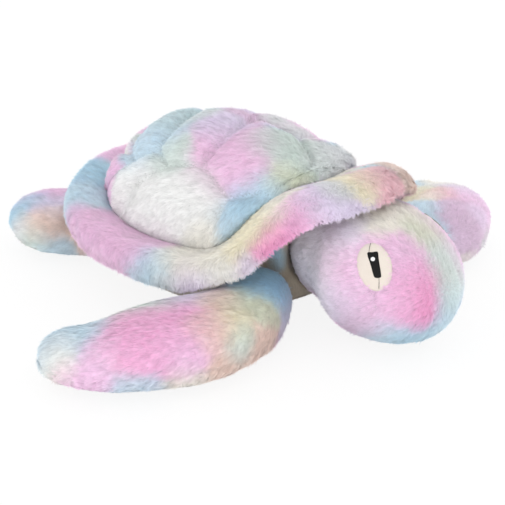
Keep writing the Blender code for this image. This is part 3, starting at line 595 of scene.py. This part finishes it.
def bladeSize(tree, given, clump):
    s = tuftSettings
    least, more = s["clumpLength"]
    uneven = maths(tree, "ADD", least, times(tree, clump, more))
    uneven = times(tree, uneven, chance(tree, given, *s["lengths"], 4))
    long = times(tree, times(tree, given["Length"], named(tree, "pileLength")), uneven)
    wide = times(tree, given["Width"], chance(tree, given, *s["widths"], 5))
    return addNode(tree, "ShaderNodeCombineXYZ", {0: long, 1: wide, 2: long}).outputs[0]


def litLikeSkin(tree, pile):
    # Light falls on the pile much as on the skin below it
    own = addNode(tree, "GeometryNodeInputNormal").outputs[0]
    values = {0: tuftSettings["ownShading"], 4: named(tree, "skinNormal", "FLOAT_VECTOR"), 5: own}
    shaded = addNode(tree, "ShaderNodeMix", values, data_type="VECTOR").outputs[1]
    normals = addNode(tree, "GeometryNodeSetMeshNormal", mode="FREE", domain="POINT")
    tree.links.new(pile, normals.inputs["Mesh"])
    tree.links.new(vectors(tree, "NORMALIZE", shaded), normals.inputs["Custom Normal"])
    return normals.outputs[0]


def makePileTree(blade):
    s = tuftSettings
    tree = bpy.data.node_groups.new("combed pile", "GeometryNodeTree")
    given = pileInterface(tree)
    place = addNode(tree, "GeometryNodeInputPosition").outputs[0]
    density = times(tree, given["Density"], named(tree, "pileDensity"))
    spread = addNode(tree, "GeometryNodeDistributePointsOnFaces",
                     {"Mesh": given["Geometry"], "Density": density, "Seed": given["Seed"]}).outputs
    points = store(tree, spread["Points"], "rootPlace", place)
    swirl, clump = tufts(tree, given, place)
    lit = together(tree, spread["Normal"], scaled(tree, swirl, given["Tuft Relief"]))
    points = store(tree, points, "skinNormal", lit)
    mottled = mapped(tree, clump, *s["mottleBand"], 0.0, s["mottle"])
    tint = maths(tree, "ADD", mottled, chance(tree, given, 0.0, s["grain"], 3))
    points = store(tree, points, "tint", tint, "FLOAT")

    shape = addNode(tree, "GeometryNodeObjectInfo", {"Object": blade}).outputs["Geometry"]
    planted = addNode(tree, "GeometryNodeInstanceOnPoints",
                      {"Points": points, "Instance": shape, "Scale": bladeSize(tree, given, clump),
                       "Rotation": bladeTurn(tree, given, spread["Normal"], swirl)}).outputs[0]
    pile = addNode(tree, "GeometryNodeRealizeInstances", {0: planted}).outputs[0]
    skin = store(tree, given["Geometry"], "rootPlace", place)
    both = addNode(tree, "GeometryNodeJoinGeometry")
    tree.links.new(litLikeSkin(tree, pile), both.inputs[0])
    tree.links.new(skin, both.inputs[0])
    dressed = addNode(tree, "GeometryNodeSetMaterial",
                      {"Geometry": both.outputs[0], "Material": given["Material"]})
    addNode(tree, "NodeGroupOutput", {0: dressed.outputs[0]})
    return tree


def growPile(form, tree, pile, seed, cloth, comb, length, density, tufting=1.0):
    storeNumbers(form, "comb", comb)
    for name, numbers in (("pileLength", length), ("pileDensity", density), ("tufting", tufting)):
        storeNumbers(form, name, numbers * np.ones(len(comb)))
    modifier = form.modifiers.new("pile", "NODES")
    modifier.node_group = tree
    wanted = dict(zip(pileSockets, pilesOf[pile]), Seed=seed, Material=cloth)
    for item in tree.interface.items_tree:
        if item.in_out == "INPUT" and item.name in wanted:
            modifier[item.identifier] = wanted[item.name]
    applyModifiers(form)
    for name in ("comb", "pileLength", "pileDensity", "tufting", "skinNormal"):
        attribute = form.data.attributes.get(name)
        if attribute:
            form.data.attributes.remove(attribute)
    print(form.name, len(form.data.polygons), "faces")


def finishSoft(form, body, slot, fill, *nodes):
    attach(form, body)
    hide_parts(*nodes)


# Shell seam in plan, where dome and rim are sewn together
shellSeam = 0.094, 0.110    # half its width, and half its length


def seamDistance(places):
    # From the seam outwards
    wide, long = shellSeam
    return (np.hypot(places[:, 0] / wide, places[:, 1] / long) - 1) * (wide + long) / 2


# The quilted top, puffed between its stitched seams
domeSettings = {
    "voxel": 0.0025,
    "rounds": 3,                # of smoothing
    "middle": (0.0, 0.0, 0.03),
    "outside": (-0.5, 0.1),     # where the cloth faces away from the middle, as a cosine
    "pileFrom": -0.2,
    "creaseBend": 20,           # degrees, of the solid at a stitched seam
    "creaseStep": 0.0015,
    "creasesAbove": 0.06,
    "valleyWidth": 0.0030,
    "valleyDepth": 0.0034,
    "edgeWidth": 0.012,         # beside the seam with the rim
    "edgeShallow": 0.3,
    "rearInset": 0.0035,
    "rear": (0.2, 0.9),         # how far it faces the tail, as a cosine
    "puff": 0.0010,
    "puffOver": 0.05,
    "puffSeed": 3,
    "puffFrom": 0.015,          # of a seam
    "heldWithin": 0.007,        # of a seam, where stitches hold the pile down
    "heldLength": (0.4, 0.6),   # share of the length on the seam, and what is added beside it
    "comb": ((-0.25, 0.9, -0.25), (0.0, 0.0, 0.12)),
    "combAway": (0.3, 0.9),     # from that centre, and more at the edge
    "seed": 11,
}


def scuteSeams():
    # Points along the stitched creases of the dome
    s = domeSettings
    bm = weldedCopy("shell_dome")
    points = []
    for e in bm.edges:
        bent = e.is_manifold and e.calc_face_angle_signed() < -math.radians(s["creaseBend"])
        if bent and e.verts[0].co.z > s["creasesAbove"]:
            a, b = e.verts[0].co, e.verts[1].co
            count = max(2, round((b - a).length / s["creaseStep"]))
            points += [a.lerp(b, i / count) for i in range(count + 1)]
    bm.free()
    return treeOf(points)


def makeDome(tree):
    s = domeSettings
    form, places, normals = stuffedForm("shellDome", ("shell_dome",), (), s)
    facing = (normals * outwardFrom(places, s["middle"])).sum(1)
    outside = softStep(facing, *s["outside"])
    toSeam = distancesTo(scuteSeams(), places)
    edge = 1 - softStep(-seamDistance(places), 0.0, s["edgeWidth"])
    valley = bell(toSeam, s["valleyWidth"]) * (1 - edge)
    inset = pileInset * (1 - s["edgeShallow"] * edge) + s["valleyDepth"] * valley
    inset = inset + s["rearInset"] * softStep(normals[:, 1], *s["rear"])
    puff = puffOf(places, s, s["puffSeed"]) * softStep(toSeam, 0.0, s["puffFrom"])
    places = places - normals * ((inset - puff) * outside)[:, None]
    setPlaces(form, places)
    held, free = s["heldLength"]
    away, edgeAway = s["combAway"]
    length = held + free * softStep(toSeam, 0.0, s["heldWithin"])
    comb = combOf(places, s["comb"], away + edgeAway * edge)
    ground = "white", "sky", "lilac", "pink", "mint"
    cloth = dyedPile("tie-dyed pile of the shell top", ground, domeSpots)
    growPile(form, tree, "dome", s["seed"], cloth, comb, length, facing > s["pileFrom"])
    finishSoft(form, "body", "shell_plush", 0.7, "shell_dome")


# The stuffed rim bulges, most where it lies as a hood on the head
rimSettings = {
    "voxel": 0.0028,
    "rounds": 4,
    "roundsAfter": 14,          # once it has bulged
    "bulge": 0.0092,
    "hoodBulge": 0.0128,
    "hood": (0.05, 0.11),       # along -Y
    "crown": 0.5,               # share of the width at which it is highest
    "seamShare": (0.55, 0.08),  # how much of the bulge there is at the seam: at the sides and at the hood
    "bulgeLean": (0.15, 0.97),  # outwards and up
    "upper": (-0.1, 0.5),       # how far it faces up, as a cosine
    "seamTop": 0.010,           # the cloth this near to the seam counts as upper
    "sewn": 0.012,
    "tuck": 0.0045,             # how far the inner edge lies under the dome
    "tucked": (0.002, 0.014),
    "farHood": (0.08, 0.13),    # along -Y
    "farAcross": (0.1, 0.9),
    "brimLift": 0.0050,         # the hood's underside lies this much higher than the CAD's
    "brimDraw": 0.0035,
    "puff": 0.0012,
    "puffOver": 0.045,
    "puffSeed": 8,
    "below": (0.2, 0.8),        # how far it faces down, as a cosine
    "brim": (0.6, 0.9),         # share of the width
    "length": (0.9, 0.1, 0.15),  # of the pile: at the seam, then what is added beyond it and at the brim
    "lessBelow": 0.3,
    "barerBelow": 0.55,
    "brimTufts": 0.3,           # stronger
    "comb": ((-0.25, 0.9, -0.15), (0.0, 0.0, 0.09)),
    "combAway": (0.1, 0.9),     # from that centre, and more at the brim
    "overBrim": (0.25, -0.9, -0.2),
    "seed": 12,
}


def shareAcross(places, away, bins=90, narrowest=0.005):
    # 0 at the seam with the dome, 1 at the rim's outer edge, which is found in each of the bins round it
    turn = (np.arctan2(places[:, 1], places[:, 0]) / (2 * math.pi) + 0.5) * bins
    widest = np.zeros(bins)
    np.maximum.at(widest, turn.astype(int) % bins, away)
    widest = (np.roll(widest, 1) + 2 * widest + np.roll(widest, -1)) / 4
    low = np.floor(turn - 0.5).astype(int)
    part = turn - 0.5 - low
    width = widest[low % bins] * (1 - part) + widest[(low + 1) % bins] * part
    return np.clip(away / np.maximum(width, narrowest), 0, 1)


def bulgeRim(places, normals):
    s = rimSettings
    away = seamDistance(places)
    sewn = softStep(away, 0.0, s["sewn"])
    across = shareAcross(places, away)
    upper = np.maximum(softStep(normals[:, 2], *s["upper"]), 1 - softStep(away, 0.0, s["seamTop"]))
    hood = softStep(-places[:, 1], *s["hood"])
    height = (s["bulge"] + (s["hoodBulge"] - s["bulge"]) * hood) * upper
    fromCrown = np.abs(across - s["crown"]) / s["crown"]
    atSeam = s["seamShare"][0] + (s["seamShare"][1] - s["seamShare"][0]) * hood
    height = height * np.where(across > s["crown"], 1 - fromCrown ** 2, 1 - (1 - atSeam) * fromCrown ** 2)
    outward = outwardFrom(places * (1, 1, 0), (0, 0, 0))
    out, up = s["bulgeLean"]
    puff = puffOf(places, s, s["puffSeed"])
    places = places - normals * (pileInset * sewn - puff * sewn)[:, None]
    places = places + (outward * out + (0, 0, up)) * height[:, None]
    places = places - outward * (s["tuck"] * upper * (1 - softStep(away, *s["tucked"])))[:, None]
    farHood = softStep(-places[:, 1], *s["farHood"]) * softStep(across, *s["farAcross"])
    places = places - outward * (s["brimDraw"] * farHood)[:, None]
    places[:, 2] += s["brimLift"] * farHood * (1 - upper)
    return places


def makeRim(tree):
    s = rimSettings
    form, places, normals = stuffedForm("shellRim", ("shell_rim",), (), s)
    setPlaces(form, bulgeRim(places, normals))
    smoothOut(form, s["voxel"], s["roundsAfter"])
    places, normals = shapeOf(form)
    away = seamDistance(places)
    sewn = softStep(away, 0.0, s["sewn"])
    below = softStep(-normals[:, 2], *s["below"])
    brim = softStep(shareAcross(places, away), *s["brim"])
    atSeam, beyond, atBrim = s["length"]
    inward, brimAway = s["combAway"]
    comb = combOf(places, s["comb"], inward + brimAway * brim) + np.outer(brim, s["overBrim"])
    length = (atSeam + beyond * sewn + atBrim * brim) * (1 - s["lessBelow"] * below)
    density = 1 - s["barerBelow"] * below
    ground = "lilac", "pink", "cream", "sky", "white"
    cloth = dyedPile("tie-dyed pile of the shell rim", ground, rimSpots)
    growPile(form, tree, "rim", s["seed"], cloth, comb, length, density, 1 + s["brimTufts"] * brim)
    finishSoft(form, "body", "rim_plush", 0.6, "shell_rim")


# The belly is flat below, and its chest swells forwards between head and flippers
bellySettings = {
    "voxel": 0.0032,
    "rounds": 6,
    "swell": 0.0015,            # of the filling
    "middle": (0.0, 0.0, 0.06),
    "outside": (-0.1, 0.3),
    "inset": 0.0020,
    "sole": (0.001, 0.004),
    "chest": 0.009,
    "chestFrom": (0.06, 0.11),  # along -Y
    "chestBottom": (0.003, 0.015),
    "chestTop": (0.025, 0.045),
    "chestSide": (0.025, 0.05),
    "pileFrom": 0.5,            # of being outside
    "pileBelow": 0.075,
    "soleShort": 0.8,
    "soleBare": 0.9,
    "comb": ((0.0, 0.2, -0.8), (0.0, 0.0, 0.05)),
    "combAway": 0.4,
    "seed": 14,
}


def makeBelly(tree):
    s = bellySettings
    form, places, normals = stuffedForm("belly", ("belly_panel",), ("body_filling",), s)
    outside = softStep((normals * outwardFrom(places, s["middle"])).sum(1), *s["outside"])
    sole = 1 - softStep(places[:, 2], *s["sole"])
    places = places - normals * (s["inset"] * outside * (1 - sole))[:, None]
    chest = softStep(-places[:, 1], *s["chestFrom"]) * softStep(places[:, 2], *s["chestBottom"])
    chest = chest * (1 - softStep(places[:, 2], *s["chestTop"]))
    chest = chest * (1 - softStep(np.abs(places[:, 0]), *s["chestSide"]))
    places = places + (0, -s["chest"], 0) * chest[:, None]
    setPlaces(form, places)
    covered = (outside > s["pileFrom"]) * (1 - s["soleBare"] * sole) * (places[:, 2] < s["pileBelow"])
    comb = combOf(places, s["comb"], s["combAway"])
    cloth = dyedPile("short cream pile of the belly", ("bellyLight", "bellyDark"), bellySpots, shortPaintedShadeAndTone)
    growPile(form, tree, "belly", s["seed"], cloth, comb, 1 - s["soleShort"] * sole, covered)
    finishSoft(form, "body", "belly_cloth", 0.8, "belly_panel", "pellet_pouch", "body_filling")


# The eye lies in its own frame on the head: x to the nose, y up and z off the cloth, in millimetres
eyeSettings = {
    "place": (-44.6, -188.3, 84.9),
    "faces": (-0.60, -0.47, 0.645),
    "bedReach": (18, 24),       # the head's surface is measured this far around
    "bedAbove": 20,
    "halfWidth": 13.2,
    "halfHeight": 18.4,
    "skew": -0.13,              # the top leans to the tail
    "pupil": ((-5.9, 9.6), (-2.2, 10.4), (1.9, 10.8), (2.7, 6.0), (3.5, 1.0), (4.9, -7.0), (4.2, -9.0),
              (0.8, -9.2), (-0.9, -7.2), (-3.2, 0.6)),
    "glint": (-1.6, 4.9, 1.7),  # x, y, radius
    "points": (56, 3, 20),      # round the white, to each corner of the pupil, and round the highlight
    "threads": (((-3.3, 18.0), (-4.2, 14.5), (-4.6, 9.5)), ((3.2, -8.0), (3.5, -12.5), (3.4, -17.0))),
    "threadRadius": 0.28,
    "sink": -0.6,
    "whiteCrown": 1.3,
    "pupilSink": 0.05,          # into the white's crown
    "pupilCrown": 0.45,
    "glintRise": 0.3,           # above the pupil's base
    "glintCrown": 0.35,
    "threadSink": 0.15,         # below the pupil's base
    "rings": (0.2, 0.4, 0.6, 0.75, 0.87, 0.95, 1.0),  # of a patch, as shares of its outline
    "edgeDrop": 0.97,           # 1 brings the crown down to nothing at the edge
    "back": 0.8,                # below the base
    "fold": ((-0.4, -20.0), (1.2, -23.1), (2.1, -26.5), (3.4, -29.0)),  # a small crease under the eye
    "foldWidth": 2.6,
    "foldDepth": 2.2,
    "rimAt": 1.1,               # the pile sinks round the eye, at this share of its outline
    "rimWidth": 0.16,
    "rimDepth": 0.9,
    "behind": -25,              # nothing this far below the eye belongs to it
    "bareWithin": 0.96,         # share of the outline
    "length": (0.55, 0.45),     # of the pile: at the eye, and what is added away from it
    "lengthOver": (0.95, 1.5),
    "foldShort": 0.35,
}


class EyeBed:
    # The head's surface at one eye, as a smooth sheet over the eye's own frame
    def __init__(self, surface):
        s = eyeSettings
        self.origin = Vector(s["place"]) / 1000
        self.off = Vector(s["faces"]).normalized()
        self.across = Vector((0, 0, 1)).cross(self.off).normalized()
        self.upright = self.off.cross(self.across)
        rows, heights = [], []
        wide, high = s["bedReach"]
        for x in np.linspace(-wide, wide, wide + 1):
            for y in np.linspace(-high, high, high + 1):
                start = self.origin + (self.across * x + self.upright * y + self.off * s["bedAbove"]) / 1000
                hit = surface.ray_cast(start, -self.off)[0]
                if hit:
                    rows.append(self.terms(x, y))
                    heights.append((hit - self.origin).dot(self.off) * 1000)
        self.factors = np.linalg.lstsq(np.array(rows), np.array(heights), rcond=None)[0]

    def terms(self, x, y):
        return [1, x, y, x * x, x * y, y * y, x ** 3, x * x * y, x * y * y, y ** 3]

    def at(self, x, y, lift):
        z = float(np.dot(self.terms(x, y), self.factors)) + lift
        return self.origin + (self.across * x + self.upright * y + self.off * z) / 1000

    def inFrame(self, places):
        # Both eyes are measured in the right one's frame
        folded = places * np.where(places[:, :1] > 0, (-1, 1, 1), (1, 1, 1))
        axes = np.array((self.across, self.upright, self.off))
        return folded, (folded - np.array(self.origin)) @ axes.T * 1000


def smoothLoop(points, steps):
    # Closed curve through the points
    out = []
    for i in range(len(points)):
        p = [Vector(points[(i + k - 1) % len(points)]) for k in range(4)]
        for j in range(steps):
            t = j / steps
            out.append(0.5 * (2 * p[1] + (p[2] - p[0]) * t + (2 * p[0] - 5 * p[1] + 4 * p[2] - p[3]) * t * t
                              + (3 * p[1] - p[0] - 3 * p[2] + p[3]) * t ** 3))
    return out


def ovalLoop(x, y, wide, high, skew, count):
    turns = np.linspace(0, 2 * math.pi, count, endpoint=False)
    return [Vector((x + wide * math.cos(t) + skew * high * math.sin(t), y + high * math.sin(t)))
            for t in turns]


def patchMesh(bm, bed, loop, base, crown):
    # Domed patch, closed at its edge and behind
    s = eyeSettings
    middle = sum(loop, Vector((0, 0))) / len(loop)
    rings = []
    for share in s["rings"]:
        lift = base + crown * math.sqrt(1 - share ** 4 * s["edgeDrop"])
        rings.append([bm.verts.new(bed.at(*middle.lerp(p, share), lift)) for p in loop])
    rings.append([bm.verts.new(bed.at(*p, base - s["back"])) for p in loop])
    top = bm.verts.new(bed.at(*middle, base + crown))
    under = bm.verts.new(bed.at(*middle, base - s["back"]))
    n = len(loop)
    for i in range(n):
        j = (i + 1) % n
        bm.faces.new((top, rings[0][i], rings[0][j]))
        bm.faces.new((under, rings[-1][j], rings[-1][i]))
        for near, far in zip(rings, rings[1:]):
            bm.faces.new((near[i], far[i], far[j], near[j]))


def threadMesh(bm, bed, points, lift, steps=4, sides=6):
    radius = eyeSettings["threadRadius"]
    path = []
    for (x0, y0), (x1, y1) in zip(points, points[1:]):
        path += [(x0 + (x1 - x0) * k / steps, y0 + (y1 - y0) * k / steps) for k in range(steps)]
    path.append(points[-1])
    turns = [k * 2 * math.pi / sides for k in range(sides)]
    rings = [[bm.verts.new(bed.at(x + radius * math.cos(a), y, lift + radius * math.sin(a))) for a in turns]
             for x, y in path]
    for near, far in zip(rings, rings[1:]):
        for i in range(sides):
            j = (i + 1) % sides
            bm.faces.new((near[i], near[j], far[j], far[i]))
    bm.faces.new(rings[0])
    bm.faces.new(rings[-1])


def finishCloth(tree, shader, share, dark, pale, height, strength, depth):
    colour = addNode(tree, "ShaderNodeMix", {0: share, 6: linear(dark), 7: linear(pale)}, data_type="RGBA")
    bump = addNode(tree, "ShaderNodeBump", {"Height": height, "Strength": strength, "Distance": depth})
    tree.links.new(colour.outputs[2], shader.inputs["Base Color"])
    tree.links.new(bump.outputs[0], shader.inputs["Normal"])


# Size in metres and detail of fibres and clouds; strength and depth of a bump
feltSettings = {"fibre": (0.0009, 3.0), "cloud": (0.007, 2.0), "cloudShare": 0.6, "bump": (0.35, 0.0003),
                "colours": ("D8CEC3", "E8DFD5")}


def feltMaterial():
    # Polyester felt: matted fibres give a dull, faintly cloudy surface without a grain
    s = feltSettings
    material, tree, shader = newMaterial("cream polyester felt", "felt")
    place = addNode(tree, "ShaderNodeTexCoord").outputs["Object"]
    fibre, cloud = [noise(tree, place, 1 / size, detail)["Fac"] for size, detail in (s["fibre"], s["cloud"])]
    both = addNode(tree, "ShaderNodeMix", {0: s["cloudShare"], 2: fibre, 3: cloud}).outputs[0]
    finishCloth(tree, shader, both, *s["colours"], fibre, *s["bump"])
    return material


# Satin stitch: parallel rayon threads, one to each wave. The pale colour on each wave is a painted sheen
# across the threads, and the wave bumps them too
satinSettings = {"thread": 0.0008, "wave": 0.31, "slant": 52, "distortion": 1.2, "detail": 1.0,
                 "bump": (0.4, 0.0002)}


def satinMaterial(name, dark, pale):
    s = satinSettings
    material, tree, shader = newMaterial(name, "satin")
    place = addNode(tree, "ShaderNodeTexCoord").outputs["Object"]
    slant = (0.0, math.radians(s["slant"]), 0.0)
    turned = addNode(tree, "ShaderNodeMapping", {"Vector": place, "Rotation": slant}).outputs[0]
    wave = addNode(tree, "ShaderNodeTexWave",
                   {"Vector": turned, "Scale": s["wave"] / s["thread"], "Distortion": s["distortion"],
                    "Detail": s["detail"]},
                   bands_direction="Z").outputs["Fac"]
    finishCloth(tree, shader, wave, dark, pale, wave, *s["bump"])
    return material


def sewOn(bm, name, sign, material, slot, *nodes):
    # One piece of an eye, mirrored for the left side
    for v in bm.verts:
        v.co.x *= sign
    bmesh.ops.recalc_face_normals(bm, faces=bm.faces)
    for f in bm.faces:
        f.smooth = True
    piece = linkObject(name, meshOf(bm, name))
    piece.data.materials.append(material)
    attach(piece, "head")
    if nodes:
        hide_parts(*nodes)


def makeEyes(bed):
    s = eyeSettings
    felt = feltMaterial()
    # The second, paler colour of each satin is its painted sheen
    black = satinMaterial("black satin stitch", "040405", "0C0C0D")
    white = satinMaterial("white satin stitch", "E9E9EA", "FAFAFA")
    grey = satinMaterial("grey sewing thread", "77736E", "9A958F")
    x, y, radius = s["glint"]
    ovalPoints, pupilSteps, ringPoints = s["points"]
    ring = ovalLoop(x, y, radius, radius, 0, ringPoints)
    oval = ovalLoop(0, 0, s["halfWidth"], s["halfHeight"], s["skew"], ovalPoints)
    pupil = smoothLoop(s["pupil"], pupilSteps)
    pupilBase = s["sink"] + s["whiteCrown"] - s["pupilSink"]
    patches = (
        ("eyeWhite", felt, "eye_felt", "eye_white_", oval, s["sink"], s["whiteCrown"]),
        ("eyePupil", black, "eye_pupil", "eye_pupil_", pupil, pupilBase, s["pupilCrown"]),
        ("eyeGlint", white, "eye_highlight", "eye_highlight_", ring, pupilBase + s["glintRise"],
         s["glintCrown"]),
    )
    for side, sign in (("Right", 1), ("Left", -1)):
        for name, material, slot, node, loop, base, crown in patches:
            bm = bmesh.new()
            patchMesh(bm, bed, loop, base, crown)
            sewOn(bm, name + side, sign, material, slot, node + side.lower())
        bm = bmesh.new()
        for points in s["threads"]:
            threadMesh(bm, bed, points, pupilBase - s["threadSink"])
        sewOn(bm, "eyeThread" + side, sign, grey, "eye_pupil")
    print("eyes sewn on")


headSettings = {
    "voxel": 0.0028,
    "rounds": 24,
    "swell": 0.0025,
    "gussetHalfWidth": 0.017,
    "seamWidth": 0.003,
    "seamDepth": 0.0010,
    "seamLength": (0.7, 0.3),   # of the pile: on the seam, and what is added beside it
    "puff": 0.0008,
    "puffOver": 0.05,
    "puffSeed": 5,
    "comb": ((0.0, 0.55, -0.45), (0.0, -0.235, 0.06)),
    "combAway": 0.5,
    "seed": 13,
}


def makeHead(tree):
    s, e = headSettings, eyeSettings
    skins = ("head_gusset", "head_panel_right", "head_panel_left")
    form, places, normals = stuffedForm("head", skins, ("head_filling",), s)
    seam = bell(np.abs(places[:, 0]) - s["gussetHalfWidth"], s["seamWidth"])
    puff = puffOf(places, s, s["puffSeed"])
    places = places - normals * (pileInset + s["seamDepth"] * seam - puff)[:, None]
    setPlaces(form, places)
    faces = [tuple(p.vertices) for p in form.data.polygons]
    bed = EyeBed(BVHTree.FromPolygons([Vector(p) for p in places], faces))

    folded, inEye = bed.inFrame(places)
    oval = np.hypot((inEye[:, 0] - e["skew"] * inEye[:, 1]) / e["halfWidth"], inEye[:, 1] / e["halfHeight"])
    oval += inEye[:, 2] < e["behind"]
    toFold = distancesTo(treeOf([bed.at(x, y, 0) for x, y in e["fold"]]), folded) * 1000
    crease = bell(toFold, e["foldWidth"])
    hollow = bell(oval - e["rimAt"], e["rimWidth"])
    places = places - normals * ((e["foldDepth"] * crease + e["rimDepth"] * hollow) / 1000)[:, None]
    setPlaces(form, places)
    onSeam, beside = s["seamLength"]
    atEye, away = e["length"]
    length = (onSeam + beside * (1 - seam)) * (atEye + away * softStep(oval, *e["lengthOver"]))
    length = length * (1 - e["foldShort"] * crease)
    comb = combOf(places, s["comb"], s["combAway"])
    cloth = dyedPile("tie-dyed pile of the head", ("pink", "lilac", "cream", "mint"), headSpots)
    growPile(form, tree, "head", s["seed"], cloth, comb, length, oval > e["bareWithin"])
    finishSoft(form, "head", "head_plush", 0.9, *skins, "head_filling")
    return bed


flippers = {
    # root in plan, comb direction, dye spots, ground dyes, seed
    "front_right": ((-0.072, -0.096), (-0.5, 0.8), frontRightSpots, ("pink", "peach", "cream", "sky"), 21),
    "front_left": ((0.072, -0.096), (0.3, 0.8), frontLeftSpots, ("pink", "lilac", "cream", "sky"), 22),
    "hind_right": ((-0.056, 0.094), (-0.2, 0.8), hindSpots, ("lilac", "peach", "mint", "sky"), 23),
    "hind_left": ((0.056, 0.094), (0.2, 0.8), hindSpots, ("sky", "lilac", "pink", "cream"), 24),
}
flipperSettings = {
    "voxel": 0.0028,
    "rounds": 22,
    "swell": 0.0025,
    "seamHeight": 0.8,          # of the middle, at the edge seam
    "seamWidth": 0.0030,
    "seamDepth": 0.0008,
    "puff": 0.0012,
    "puffOver": 0.05,
    "hindPuff": 0.003,          # more filling in a hind one, clear of the root
    "hindUpper": (-0.4, 0.2),
    "hindFrom": (0.042, 0.062),
    "below": (0.3, 0.9),
    "shaggyHeight": 0.9,        # of the middle, where the longer pile of the edge begins
    "shaggyOver": 0.006,
    "shaggy": (0.12, 0.9),      # how much longer, and how much stronger its tufts are
    "seamShort": 0.15,
    "shortBelow": 0.5,
    "barerBelow": 0.6,
    "combDown": -0.35,
    "combHeight": 0.05,
    "combAway": 0.4,
}


def makeFlipper(tree, body):
    s = flipperSettings
    root, comb, spots, ground, seed = flippers[body]
    skin, filling = "flipper_" + body, "filling_" + body
    name = "flipper" + body.title().replace("_", "")
    form, places, normals = stuffedForm(name, (skin,), (filling,), s)
    middle = (places[:, 2].max() + places[:, 2].min()) / 2
    edge = bell(places[:, 2] - middle * s["seamHeight"], s["seamWidth"])
    puff = puffOf(places, s, seed)
    if body.startswith("hind"):
        fromRoot = np.hypot(places[:, 0] - root[0], places[:, 1] - root[1])
        puff += s["hindPuff"] * softStep(normals[:, 2], *s["hindUpper"]) * softStep(fromRoot, *s["hindFrom"])
    places = places - normals * (pileInset + s["seamDepth"] * edge - puff)[:, None]
    setPlaces(form, places)
    below = softStep(-normals[:, 2], *s["below"])
    lower = softStep(middle * s["shaggyHeight"] - places[:, 2], 0.0, s["shaggyOver"])
    longer, stronger = s["shaggy"]
    length = (1 - s["seamShort"] * edge + longer * lower) * (1 - s["shortBelow"] * below)
    density = 1 - s["barerBelow"] * below
    comb = combOf(places, ((*comb, s["combDown"]), (*root, s["combHeight"])), s["combAway"])
    cloth = dyedPile("tie-dyed pile of the " + body.replace("_", " ") + " flipper", ground, spots)
    growPile(form, tree, "flipper", seed, cloth, comb, length, density, 1 + stronger * lower)
    finishSoft(form, body, "flipper_plush", 0.85, skin, filling)


setUpCamera()
setUpWorld()
setUpLamps()
setUpFloor()
bpy.context.scene.view_settings.view_transform = "Standard"
print("camera and studio set up")

blade = makeBlade()
pileTree = makePileTree(blade)
makeDome(pileTree)
makeRim(pileTree)
makeBelly(pileTree)
makeEyes(makeHead(pileTree))
for body in flippers:
    makeFlipper(pileTree, body)
bpy.data.objects.remove(blade)
print("stuffed forms covered in pile")
